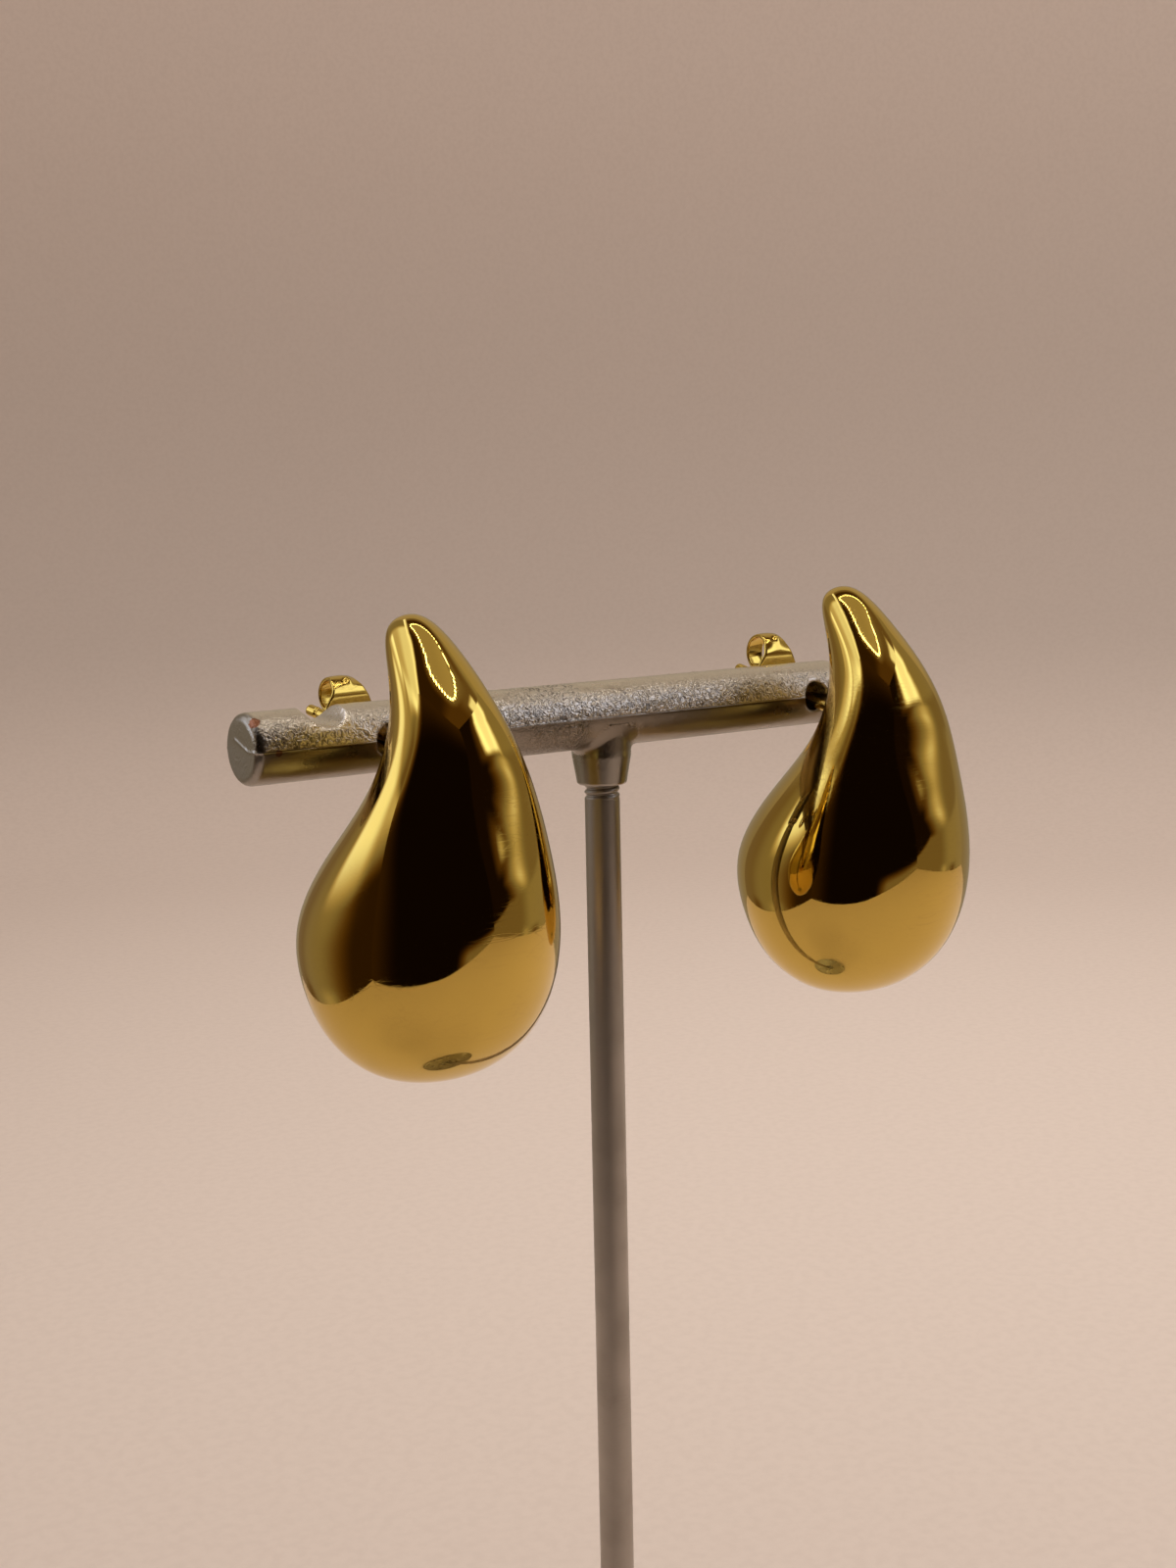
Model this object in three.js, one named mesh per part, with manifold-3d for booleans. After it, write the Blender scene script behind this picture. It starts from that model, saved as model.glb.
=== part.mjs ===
// A pair of chunky drop earrings on a small T-bar stand. Millimetres, +Z up.
// The origin is the middle of the base's underside. The bar runs along X, and the drops hang in front
// of it, on its -Y side, with their posts through its two holes and a butterfly clutch on each post.
// Heights that are called "above the axis" are measured from the bar's own axis.

import * as THREE from "three";
import { mergeVertices } from "three/addons/utils/BufferGeometryUtils.js";
import Module from "manifold-3d";

const wasm = await Module();
wasm.setup();

// ---------------------------------------------------------------- driving dimensions

const BAR_HEIGHT = 92; // the bar's axis above the table
const BAR_LENGTH = 55.5;
const BAR_RADIUS = 2.35;
const BAR_END_ROUND = 0.35; // the rounded rim of each end face
const HOLE_SPACING = 36.2; // between the two post holes
const HOLE_RADIUS = 1.05;
const NOTCH_OFFSET = 22.3; // from the middle of the bar to each hook notch
const NOTCH_RADIUS = 1.5;
const NOTCH_DEPTH = 1.18; // below the top of the bar
const FLASH_HEIGHT = 0.16; // the fin that the casting mould left along the bar
const FLASH_PROUD = 0.1;

const BOSS_BOTTOM = 4.95; // below the bar's axis
const BOSS_RADIUS_TOP = 2.1;
const BOSS_RADIUS_BOTTOM = 1.75;
const SOCKET_DEPTH = 3; // the pole's socket, up from the bottom of the boss

const POLE_RADIUS = 1.25;
const POLE_CLEARANCE = 0.1; // round the pole in both of its sockets
const THREAD_PITCH = 0.5;
const THREAD_DEPTH = 0.16;
const THREAD_TURNS = 2; // turns that show below the boss

const BASE_RADIUS = 15;
const BASE_THICKNESS = 3;
const COLLAR_RADIUS = 4;
const COLLAR_HEIGHT = 1;
const BASE_SOCKET_FLOOR = 1; // metal left under the pole

const DROP_HEIGHT = 30;
const DROP_TIP = 8.3; // the tip above the bar's axis
const DROP_WALL = 0.65;
const VENT_RADIUS = 0.6;
const VENT_BELOW_AXIS = 3.4;

const POST_RADIUS = 0.4;
const POST_ROOT = -5.1; // along the post, counted from the bar's axis
const POST_END = 7.2;
const POST_FOOT_RADIUS = 0.8;

const CLUTCH_GAUGE = 0.25; // the strip's thickness
const CLUTCH_BORE = 0.47;
const SCROLL_GAP = 0.05; // between each scroll and the post
const SCROLL_END_TURN = THREE.MathUtils.degToRad(-130); // where the strip ends, close behind the plate

// The drop's sections, level slices from the tip to the lowest point. They are spaced by equal angles of
// a half circle that is as tall as the drop, so that they crowd together at both round ends.
//   forward    how far the middle of the section lies in front of the bar's axis
//   halfWidth  from the middle to each side
//   depth      half depth over half width
//   lean       how far the sides move forward, and the front and the back move back, as a share of
//              the half depth
const DROP_SECTIONS = [
  { forward: 5.3, halfWidth: 0.0, depth: 1.05, lean: -0.08 },
  { forward: 5.5, halfWidth: 1.5, depth: 1.05, lean: -0.08 },
  { forward: 7.0, halfWidth: 2.5, depth: 1.0, lean: 0.05 },
  { forward: 8.95, halfWidth: 3.5, depth: 0.98, lean: 0.12 },
  { forward: 9.3, halfWidth: 5.2, depth: 0.84, lean: 0.12 },
  { forward: 7.7, halfWidth: 7.1, depth: 0.97, lean: 0.04 },
  { forward: 6.3, halfWidth: 8.3, depth: 1.04, lean: 0.0 },
  { forward: 6.15, halfWidth: 8.0, depth: 0.99, lean: 0.0 },
  { forward: 6.15, halfWidth: 6.4, depth: 0.94, lean: 0.0 },
  { forward: 6.1, halfWidth: 3.7, depth: 0.87, lean: 0.0 },
  { forward: 5.6, halfWidth: 0.0, depth: 0.95, lean: 0.0 },
];

// How each earring hangs in its hole, and its clutch, which is bent by hand and pushed up to the bar.
//   tilt          the weight of the drop lifts the free end of its post
//   yaw           how far the free end points to -X
//   clutchFace    where the plate starts along the post
//   scrollRadius  of the middle of the strip
const EARRINGS = {
  left: {
    tilt: THREE.MathUtils.degToRad(10.5),
    yaw: THREE.MathUtils.degToRad(9.5),
    clutchFace: 2.85,
    scrollRadius: 1.2,
  },
  right: {
    tilt: THREE.MathUtils.degToRad(12),
    yaw: 0,
    clutchFace: 2.55,
    scrollRadius: 1.45,
  },
};

// The clutch's strip, wide at the plate and narrow at its two rolled ends.
//   along      from the middle of the plate, measured along the strip
//   halfWidth  to each side, along the bar
const STRIP_WIDTHS = [
  { along: 0.0, halfWidth: 2.05 },
  { along: 1.3, halfWidth: 1.95 },
  { along: 1.8, halfWidth: 1.7 },
  { along: 2.4, halfWidth: 1.35 },
  { along: 3.1, halfWidth: 1.12 },
  { along: 3.7, halfWidth: 0.88 },
  { along: 4.6, halfWidth: 0.8 },
  { along: 7.0, halfWidth: 0.75 },
  { along: 10.0, halfWidth: 0.5 },
];

// ---------------------------------------------------------------- materials

const gold = new THREE.MeshStandardMaterial({ color: 0xc9973a, roughness: 0.12, metalness: 1 });
const clutchGold = new THREE.MeshStandardMaterial({ color: 0xd0a045, roughness: 0.2, metalness: 1 });
const castZinc = new THREE.MeshStandardMaterial({ color: 0x8f8a86, roughness: 0.45, metalness: 1 });
const satinSteel = new THREE.MeshStandardMaterial({ color: 0x8a8784, roughness: 0.35, metalness: 1 });

// ---------------------------------------------------------------- solids

// A closed geometry as a manifold-3d solid.
function solidOf(geometry) {
  const bare = geometry.clone();
  bare.deleteAttribute("normal");
  bare.deleteAttribute("uv");
  const merged = mergeVertices(bare, 1e-4);
  return new wasm.Manifold(
    new wasm.Mesh({
      numProp: 3,
      vertProperties: new Float32Array(merged.attributes.position.array),
      triVerts: new Uint32Array(merged.index.array),
    }),
  );
}

// A manifold-3d solid as a geometry that three.js can draw.
function geometryOf(solid) {
  const mesh = solid.getMesh();
  const geometry = new THREE.BufferGeometry();
  geometry.setAttribute("position", new THREE.BufferAttribute(mesh.vertProperties, mesh.numProp));
  geometry.setIndex(new THREE.BufferAttribute(mesh.triVerts, 1));
  geometry.computeVertexNormals();
  return geometry;
}

function namedMesh(name, geometry, material) {
  const mesh = new THREE.Mesh(geometry, material);
  mesh.name = name;
  return mesh;
}

// A solid of revolution about Z. The profile is a list of [radius, height], from the bottom up, and it
// starts and ends on the axis.
function turned(profile, sides) {
  const points = profile.map(([radius, height]) => new THREE.Vector2(radius, height));
  return new THREE.LatheGeometry(points, sides).rotateX(Math.PI / 2);
}

// A quarter round of a profile, from one angle to another, as [radius, height] points.
function quarterRound(middleRadius, middleHeight, round, fromAngle, steps) {
  return Array.from({ length: steps + 1 }, (_, i) => {
    const angle = fromAngle + (i / steps) * (Math.PI / 2);
    return [middleRadius + round * Math.cos(angle), middleHeight + round * Math.sin(angle)];
  });
}

// A round rod along Y, for the holes and notches of the bar.
function rodAlongY(radius, x, z, sides) {
  return new THREE.CylinderGeometry(radius, radius, 4 * BAR_RADIUS, sides).translate(x, 0, z);
}

// ---------------------------------------------------------------- splines and grids

// The second derivatives of a smooth cubic curve through evenly spaced values. A flat end has no slope
// there, and a free end has no curvature.
function curvatures(values, flatEnds) {
  const last = values.length - 1;
  const upper = [];
  const found = [];
  for (let i = 0; i <= last; i++) {
    const isEnd = i === 0 || i === last;
    const inner = i === 0 ? values[1] - values[0] : values[last - 1] - values[last];
    const bend = isEnd ? (flatEnds ? 6 * inner : 0) : 6 * (values[i - 1] - 2 * values[i] + values[i + 1]);
    const diagonal = isEnd ? (flatEnds ? 2 : 1) : 4;
    const before = i === 0 || (isEnd && !flatEnds) ? 0 : 1;
    const after = i === last || (isEnd && !flatEnds) ? 0 : 1;
    const pivot = diagonal - before * (upper[i - 1] ?? 0);
    upper.push(after / pivot);
    found.push((bend - before * (found[i - 1] ?? 0)) / pivot);
  }
  for (let i = last - 1; i >= 0; i--) found[i] -= upper[i] * found[i + 1];
  return found;
}

// A smooth function of 0 to 1 through evenly spaced values.
function splineThrough(values, flatEnds) {
  const second = curvatures(values, flatEnds);
  const spans = values.length - 1;
  return (share) => {
    const i = Math.min(Math.floor(share * spans), spans - 1);
    const b = share * spans - i;
    const a = 1 - b;
    const straight = a * values[i] + b * values[i + 1];
    return straight + ((a ** 3 - a) * second[i] + (b ** 3 - b) * second[i + 1]) / 6;
  };
}

// A closed skin over rings of points. The first and last rings are single points.
function skinOver(rings) {
  const sides = rings[1].length;
  const points = rings.flat();
  const ringStart = (row) => (row === 0 ? 0 : 1 + (row - 1) * sides);
  const triangles = [];
  for (let row = 0; row < rings.length - 1; row++) {
    for (let side = 0; side < sides; side++) {
      const next = (side + 1) % sides;
      const here = ringStart(row);
      const below = ringStart(row + 1);
      if (row === 0) triangles.push(here, below + side, below + next);
      else if (row === rings.length - 2) triangles.push(here + side, below, here + next);
      else {
        triangles.push(here + side, below + next, here + next);
        triangles.push(here + side, below + side, below + next);
      }
    }
  }
  const geometry = new THREE.BufferGeometry().setFromPoints(points);
  geometry.setIndex(triangles);
  return geometry;
}

// ---------------------------------------------------------------- the drop

const column = (name) => DROP_SECTIONS.map((section) => section[name]);
const forwardAt = splineThrough(column("forward"), true);
const halfWidthAt = splineThrough(column("halfWidth"), false);
const depthAt = splineThrough(column("depth"), true);
const leanAt = splineThrough(column("lean"), true);

// A point of the drop's skin. share runs from the tip, 0, to the lowest point, 1. turn goes round the
// section from the front, 0, by way of the +X side. Z is above the bar's axis.
function dropPoint(share, turn) {
  const halfWidth = halfWidthAt(share);
  const halfDepth = halfWidth * depthAt(share);
  const back = Math.cos(turn) - leanAt(share) * Math.cos(2 * turn);
  return new THREE.Vector3(
    halfWidth * Math.sin(turn),
    -forwardAt(share) - halfDepth * back,
    DROP_TIP - (DROP_HEIGHT * (1 - Math.cos(share * Math.PI))) / 2,
  );
}

// The same point moved inward, square to the skin.
function insetPoint(share, turn, inset) {
  const step = 1e-3;
  const along = dropPoint(share + step, turn).sub(dropPoint(share - step, turn));
  const around = dropPoint(share, turn + step).sub(dropPoint(share, turn - step));
  const inward = around.cross(along).normalize();
  return dropPoint(share, turn).addScaledVector(inward, inset);
}

// The tip and the lowest point move inward along Z.
function dropSkin(rows, sides, inset) {
  const rings = [];
  for (let row = 0; row <= rows; row++) {
    if (row === 0) rings.push([dropPoint(0, 0).setZ(DROP_TIP - inset)]);
    else if (row === rows) rings.push([dropPoint(1, 0).setZ(DROP_TIP - DROP_HEIGHT + inset)]);
    else {
      const turns = Array.from({ length: sides }, (_, side) => (side / sides) * 2 * Math.PI);
      rings.push(turns.map((turn) => insetPoint(row / rows, turn, inset)));
    }
  }
  return skinOver(rings);
}

// The post, with its soldered foot and the small groove near its free end. It is turned about Z, laid
// along +Y, lifted at its free end and then swung about Z.
function post({ tilt, yaw }) {
  const groove = POST_END - 1.1;
  const profile = [
    [0, POST_ROOT],
    [POST_FOOT_RADIUS, POST_ROOT],
    [POST_FOOT_RADIUS, POST_ROOT + 0.7],
    [0.5, POST_ROOT + 1],
    [POST_RADIUS, POST_ROOT + 1.35],
    [POST_RADIUS, groove - 0.2],
    [POST_RADIUS - 0.07, groove - 0.05],
    [POST_RADIUS - 0.07, groove + 0.05],
    [POST_RADIUS, groove + 0.2],
    [POST_RADIUS, POST_END - 0.2],
    [POST_RADIUS - 0.15, POST_END],
    [0, POST_END],
  ];
  return turned(profile, 20).rotateX(tilt - Math.PI / 2).rotateZ(yaw);
}

// The shell is open inside, with a vent in its back below the post.
function dropSolid(earring) {
  const shell = solidOf(dropSkin(32, 40, 0)).subtract(solidOf(dropSkin(20, 24, DROP_WALL)));
  const vent = new THREE.CylinderGeometry(VENT_RADIUS, VENT_RADIUS, 6, 16);
  vent.translate(0, -3, -VENT_BELOW_AXIS);
  return shell.subtract(solidOf(vent)).add(solidOf(post(earring)));
}

// ---------------------------------------------------------------- the clutch

// The middle line of the upper half of the strip, from the middle of the plate round the scroll to its
// tip, as points of (along the post, across it).
function scrollLine({ clutchFace, scrollRadius }) {
  const plate = clutchFace + CLUTCH_GAUGE / 2;
  const middle = POST_RADIUS + SCROLL_GAP + CLUTCH_GAUGE / 2 + scrollRadius;
  const line = [0, 0.65, 1.3].map((across) => new THREE.Vector2(plate, across));
  const arcSteps = 20;
  for (let i = 0; i <= arcSteps; i++) {
    const angle = Math.PI + (i / arcSteps) * (SCROLL_END_TURN - Math.PI);
    const turn = new THREE.Vector2(Math.cos(angle), Math.sin(angle)).multiplyScalar(scrollRadius);
    line.push(turn.add(new THREE.Vector2(plate + scrollRadius, middle)));
  }
  return line;
}

function stripHalfWidth(along) {
  const after = STRIP_WIDTHS.findIndex((row) => row.along > along);
  if (after < 0) return STRIP_WIDTHS[STRIP_WIDTHS.length - 1].halfWidth;
  const from = STRIP_WIDTHS[after - 1];
  const to = STRIP_WIDTHS[after];
  return THREE.MathUtils.mapLinear(along, from.along, to.along, from.halfWidth, to.halfWidth);
}

// One strip from the lower scroll's tip, over the plate, to the upper scroll's tip. Each station is a
// rectangle across the strip: its two faces and its two edges.
function stripGeometry(earring) {
  const upper = scrollLine(earring);
  const lower = upper.slice(1).map((point) => new THREE.Vector2(point.x, -point.y));
  const line = [...lower.reverse(), ...upper];
  const middle = lower.length;
  const lengths = [0];
  for (let i = 1; i < line.length; i++) lengths.push(lengths[i - 1] + line[i].distanceTo(line[i - 1]));
  const points = [];
  line.forEach((point, i) => {
    const before = line[Math.max(i - 1, 0)];
    const after = line[Math.min(i + 1, line.length - 1)];
    const tangent = after.clone().sub(before).normalize();
    const normal = new THREE.Vector2(-tangent.y, tangent.x).multiplyScalar(CLUTCH_GAUGE / 2);
    const halfWidth = stripHalfWidth(Math.abs(lengths[i] - lengths[middle]));
    for (const [side, face] of [[-1, -1], [1, -1], [1, 1], [-1, 1]]) {
      const at = point.clone().addScaledVector(normal, face);
      points.push(new THREE.Vector3(side * halfWidth, at.x, at.y));
    }
  });
  const triangles = [0, 1, 2, 0, 2, 3];
  for (let station = 0; station < line.length - 1; station++) {
    for (let corner = 0; corner < 4; corner++) {
      const next = (corner + 1) % 4;
      const [a, b] = [4 * station + corner, 4 * station + next];
      triangles.push(a, a + 4, b + 4, a, b + 4, b);
    }
  }
  const end = 4 * (line.length - 1);
  triangles.push(end, end + 2, end + 1, end, end + 3, end + 2);
  const geometry = new THREE.BufferGeometry().setFromPoints(points);
  geometry.setIndex(triangles);
  return geometry;
}

function clutchGeometry(earring) {
  const bore = new THREE.CylinderGeometry(CLUTCH_BORE, CLUTCH_BORE, 1, 24);
  bore.translate(0, earring.clutchFace, 0);
  return geometryOf(solidOf(stripGeometry(earring)).subtract(solidOf(bore)));
}

// ---------------------------------------------------------------- the stand

// A plain round bar with rounded rims, along X.
function barRod() {
  const end = BAR_LENGTH / 2;
  const middleRadius = BAR_RADIUS - BAR_END_ROUND;
  const middleHeight = end - BAR_END_ROUND;
  const profile = [
    [0, -end],
    ...quarterRound(middleRadius, -middleHeight, BAR_END_ROUND, -Math.PI / 2, 3),
    ...quarterRound(middleRadius, middleHeight, BAR_END_ROUND, 0, 3),
    [0, end],
  ];
  return turned(profile, 40).rotateY(Math.PI / 2);
}

// The boss under the bar spreads into it at the top.
function boss() {
  const profile = [
    [0, -BOSS_BOTTOM],
    [BOSS_RADIUS_BOTTOM - 0.1, -BOSS_BOTTOM],
    [BOSS_RADIUS_BOTTOM, -BOSS_BOTTOM + 0.1],
    [BOSS_RADIUS_TOP, -2.9],
    [BOSS_RADIUS_TOP + 0.2, -2.2],
    [BOSS_RADIUS_TOP + 0.2, -1],
    [0, -1],
  ];
  return turned(profile, 32);
}

// The bar is cast in one piece with its boss. It has a hole for each post and a notch outside each hole
// for hook earrings.
function crossbarGeometry() {
  const flash = new THREE.BoxGeometry(
    BAR_LENGTH - 2 * BAR_END_ROUND,
    2 * (BAR_RADIUS + FLASH_PROUD),
    FLASH_HEIGHT,
  );
  const socketRadius = POLE_RADIUS + POLE_CLEARANCE;
  const socket = new THREE.CylinderGeometry(socketRadius, socketRadius, 2 * SOCKET_DEPTH, 24);
  socket.rotateX(Math.PI / 2).translate(0, 0, -BOSS_BOTTOM);
  let solid = solidOf(barRod()).add(solidOf(flash)).add(solidOf(boss())).subtract(solidOf(socket));
  const notchHeight = BAR_RADIUS - NOTCH_DEPTH + NOTCH_RADIUS;
  for (const side of [-1, 1]) {
    const hole = rodAlongY(HOLE_RADIUS, (side * HOLE_SPACING) / 2, 0, 32);
    const notch = rodAlongY(NOTCH_RADIUS, side * NOTCH_OFFSET, notchHeight, 32);
    solid = solid.subtract(solidOf(hole)).subtract(solidOf(notch));
  }
  return geometryOf(solid);
}

// The pole stands in the base and ends inside the boss. Its thread shows just below the boss.
function poleGeometry() {
  const bottom = BASE_SOCKET_FLOOR + POLE_CLEARANCE;
  const bossBottom = BAR_HEIGHT - BOSS_BOTTOM;
  const threadBottom = bossBottom - THREAD_TURNS * THREAD_PITCH;
  const profile = [[0, bottom], [POLE_RADIUS, bottom]];
  for (let turn = 0; turn < THREAD_TURNS; turn++) {
    const start = threadBottom + turn * THREAD_PITCH;
    profile.push([POLE_RADIUS, start - 0.08], [POLE_RADIUS - THREAD_DEPTH, start + 0.08]);
    profile.push([POLE_RADIUS, start + 0.25]);
  }
  const top = bossBottom + SOCKET_DEPTH - POLE_CLEARANCE;
  profile.push([POLE_RADIUS, top - 0.3], [POLE_RADIUS - 0.3, top], [0, top]);
  return turned(profile, 24);
}

// A plain round foot with a low collar round the pole.
function baseGeometry() {
  const rimRound = 0.8;
  const profile = [
    [0, 0],
    [BASE_RADIUS - 0.4, 0],
    [BASE_RADIUS, 0.4],
    ...quarterRound(BASE_RADIUS - rimRound, BASE_THICKNESS - rimRound, rimRound, 0, 4),
    [COLLAR_RADIUS + 0.3, BASE_THICKNESS],
    [COLLAR_RADIUS, BASE_THICKNESS + 0.3],
    [COLLAR_RADIUS - 0.3, BASE_THICKNESS + COLLAR_HEIGHT],
    [POLE_RADIUS + POLE_CLEARANCE, BASE_THICKNESS + COLLAR_HEIGHT],
    [POLE_RADIUS + POLE_CLEARANCE, BASE_SOCKET_FLOOR],
    [0, BASE_SOCKET_FLOOR],
  ];
  return turned(profile, 64);
}

// ---------------------------------------------------------------- assembly

const stand = new THREE.Group();
stand.add(namedMesh("base", baseGeometry(), satinSteel), namedMesh("pole", poleGeometry(), satinSteel));

const bar = new THREE.Group();
bar.position.z = BAR_HEIGHT;
bar.add(namedMesh("crossbar", crossbarGeometry(), castZinc));

// Each earring is placed at its hole. Left and right are as seen from the front.
for (const [side, x] of [["left", -HOLE_SPACING / 2], ["right", HOLE_SPACING / 2]]) {
  const { tilt, yaw } = EARRINGS[side];
  const earring = new THREE.Group();
  earring.position.x = x;
  const dropMesh = namedMesh("drop_" + side, geometryOf(dropSolid(EARRINGS[side])), gold);
  const clutchMesh = namedMesh("clutch_" + side, clutchGeometry(EARRINGS[side]), clutchGold);
  clutchMesh.rotation.set(tilt, 0, yaw, "ZYX");
  earring.add(dropMesh, clutchMesh);
  bar.add(earring);
}

const earringsOnStand = new THREE.Group();
earringsOnStand.add(stand, bar);

export default earringsOnStand;
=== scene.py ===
# %% [markdown]
# # A pair of chunky drop earrings on a T-bar stand
#
# Two hollow gold drops hang from a cast zinc bar, which is screwed to a thin steel pole on a round foot.
# Each drop's post goes through a hole in the bar, and a folded butterfly clutch holds it from behind.
#
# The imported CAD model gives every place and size. This lesson makes the fine surfaces: it builds each
# visible piece again as a dense, smooth mesh in the same place, and gives it the finish of its metal.

import bmesh
import bpy
import numpy as np
from mathutils import Matrix, Vector, noise


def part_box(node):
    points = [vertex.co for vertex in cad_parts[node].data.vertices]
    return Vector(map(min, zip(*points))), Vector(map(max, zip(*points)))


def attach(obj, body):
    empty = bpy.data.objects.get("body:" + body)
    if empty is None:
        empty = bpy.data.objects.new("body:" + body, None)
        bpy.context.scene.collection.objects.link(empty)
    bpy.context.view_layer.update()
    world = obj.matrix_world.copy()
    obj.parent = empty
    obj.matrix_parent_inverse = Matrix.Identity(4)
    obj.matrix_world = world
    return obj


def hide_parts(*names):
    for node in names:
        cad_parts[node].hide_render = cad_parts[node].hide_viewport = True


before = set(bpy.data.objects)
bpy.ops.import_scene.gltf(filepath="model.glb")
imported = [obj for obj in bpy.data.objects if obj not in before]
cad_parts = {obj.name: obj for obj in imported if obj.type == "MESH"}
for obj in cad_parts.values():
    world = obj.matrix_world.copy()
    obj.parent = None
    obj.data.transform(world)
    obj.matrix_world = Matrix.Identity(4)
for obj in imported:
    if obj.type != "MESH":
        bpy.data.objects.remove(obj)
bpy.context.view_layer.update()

print("nodes:", sorted(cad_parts))

# %% [markdown]
# ## Measures
#
# Small jewellery is easier to think about in millimetres, so every measure here is in millimetres, and
# meshes are scaled to metres when they are made. Only the materials work in metres. The places come from
# the boxes of the CAD nodes: the bar's axis lies one radius below the top of its box, and each drop hangs
# at the middle of its own box.

# %% Places and sizes from the frame
MM = 0.001
SIDES = ("left", "right")


def box_mm(node):
    """The lowest and the highest corner of a CAD node, in millimetres."""
    low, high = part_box(node)
    return np.array(low) / MM, np.array(high) / MM


bar_low, bar_high = box_mm("crossbar")
pole_low, pole_high = box_mm("pole")
base_high = box_mm("base")[1]

BAR_RADIUS = 2.35
BAR_HALF = bar_high[0]
AXIS_HEIGHT = bar_high[2] - BAR_RADIUS
BOSS_BOTTOM = bar_low[2] - AXIS_HEIGHT
HOLE_X = {side: float(np.mean([corner[0] for corner in box_mm("drop_" + side)])) for side in SIDES}
HOLE_RADIUS = 1.05
NOTCH_X = 22.3  # the hook notches, from the middle of the bar
PLAY = 0.1  # round the pole, in the bar's socket and in the foot's

# How each earring hangs in its hole, in degrees, and how its clutch is rolled. The drop's weight lifts
# the free end of the post, and the clutch is bent by hand, so the two aren't quite alike.
EARRINGS = {
    "left": {"tilt": 10.5, "yaw": 9.5, "clutch_face": 2.85, "scroll_radius": 1.2},
    "right": {"tilt": 12.0, "yaw": 0.0, "clutch_face": 2.55, "scroll_radius": 1.45},
}
print(f"bar axis {AXIS_HEIGHT:.2f} mm up, holes at {HOLE_X['left']:.2f} and {HOLE_X['right']:.2f} mm")

# %% [markdown]
# ## Camera
#
# The camera stands in front of the left earring, a little above the bar, and looks along the bar towards
# its far end. A long lens keeps both drops nearly the same size.

# %% Camera
CAMERA_FROM_BAR = (-82.79, -118.40, 17.01)  # from the middle of the bar's axis
HEADING = 34.57  # degrees, from straight at the front towards the right
PITCH = 8.66  # degrees down
ROLL = -1.18
LENS = 47.3


def new_object(name, data):
    """An object in the scene that shows a mesh, a camera or a light."""
    obj = bpy.data.objects.new(name, data)
    bpy.context.scene.collection.objects.link(obj)
    return obj


def rotation(degrees, axis):
    return Matrix.Rotation(np.radians(degrees), 4, axis)


camera = new_object("camera", bpy.data.cameras.new("camera"))
camera.data.lens = LENS
camera.data.clip_start, camera.data.clip_end = 0.01, 20
camera_place = Matrix.Translation((Vector(CAMERA_FROM_BAR) + Vector((0, 0, AXIS_HEIGHT))) * MM)
camera_turn = rotation(-HEADING, "Z") @ rotation(90 - PITCH, "X")
camera.matrix_world = camera_place @ camera_turn @ rotation(ROLL, "Z")
bpy.context.scene.camera = camera
print("camera at", [round(c / MM, 1) for c in camera.matrix_world.translation], "mm")

# %% [markdown]
# ## Meshes from grids
#
# Most of these pieces are turned, drawn or spun, so each is a grid of points: rows along it, and points
# round it. One helper joins a grid with quads and closes its ends. numpy works out all points at once,
# which is much quicker than adding them one by one.


# %% Mesh helpers
def shade(mesh, sharp_above=35):
    """Smooth shading, in which edges sharper than the angle stay crisp."""
    mesh.polygons.foreach_set("use_smooth", [True] * len(mesh.polygons))
    mesh.set_sharp_from_angle(angle=np.radians(sharp_above))
    mesh.update()


def new_mesh(name, points, faces):
    """A smooth-shaded object from points in millimetres."""
    mesh = bpy.data.meshes.new(name)
    mesh.from_pydata((np.asarray(points) * MM).tolist(), [], faces)
    mesh.validate()
    shade(mesh)
    return new_object(name, mesh)


def circle(count):
    """Evenly spaced angles round a circle."""
    return np.linspace(0, 2 * np.pi, count, endpoint=False)


def ring(radius, height, angle):
    """Points round Z. Columns of radii and heights give a row of points each."""
    radius, height, angle = np.broadcast_arrays(radius, height, angle)
    return np.stack([radius * np.cos(angle), radius * np.sin(angle), height], -1)


def turned(profile, sides):
    """Rings of a turned solid about Z, from (radius, height) pairs that go up and don't touch the axis."""
    profile = np.asarray(profile, float)
    return ring(profile[:, :1], profile[:, 1:], circle(sides))


def grid_faces(rows, sides):
    """Quads between rows of closed rings."""
    faces = []
    for row in range(rows - 1):
        near, far = row * sides, (row + 1) * sides
        for side in range(sides):
            after = (side + 1) % sides
            faces.append((near + side, near + after, far + after, far + side))
    return faces


def skin(rings, start_point=None, end_point=None):
    """Points and faces of a closed skin over rings of points. An end is a point, or else a flat face."""
    rows, sides = rings.shape[:2]
    points = rings.reshape(-1, 3)
    faces = grid_faces(rows, sides)
    last = (rows - 1) * sides
    if start_point is None:
        faces.append(tuple(reversed(range(sides))))
    else:
        faces += [(len(points), (side + 1) % sides, side) for side in range(sides)]
        points = np.vstack([points, start_point])
    if end_point is None:
        faces.append(tuple(range(last, last + sides)))
    else:
        faces += [(len(points), last + side, last + (side + 1) % sides) for side in range(sides)]
        points = np.vstack([points, end_point])
    return points, faces


print("four points round Z:", ring(1, 0, circle(4)).round(1).tolist())

# %% [markdown]
# A boolean modifier drills, joins and hollows, as a bench tool does. It can leave slivers far thinner than
# any real detail, and points that only two edges meet. Both would become stray faces when the mesh is
# split into triangles, so they are dissolved after each cut.

# %% Cutting, finishing and soft steps
SLIVER = 0.0002


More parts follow.
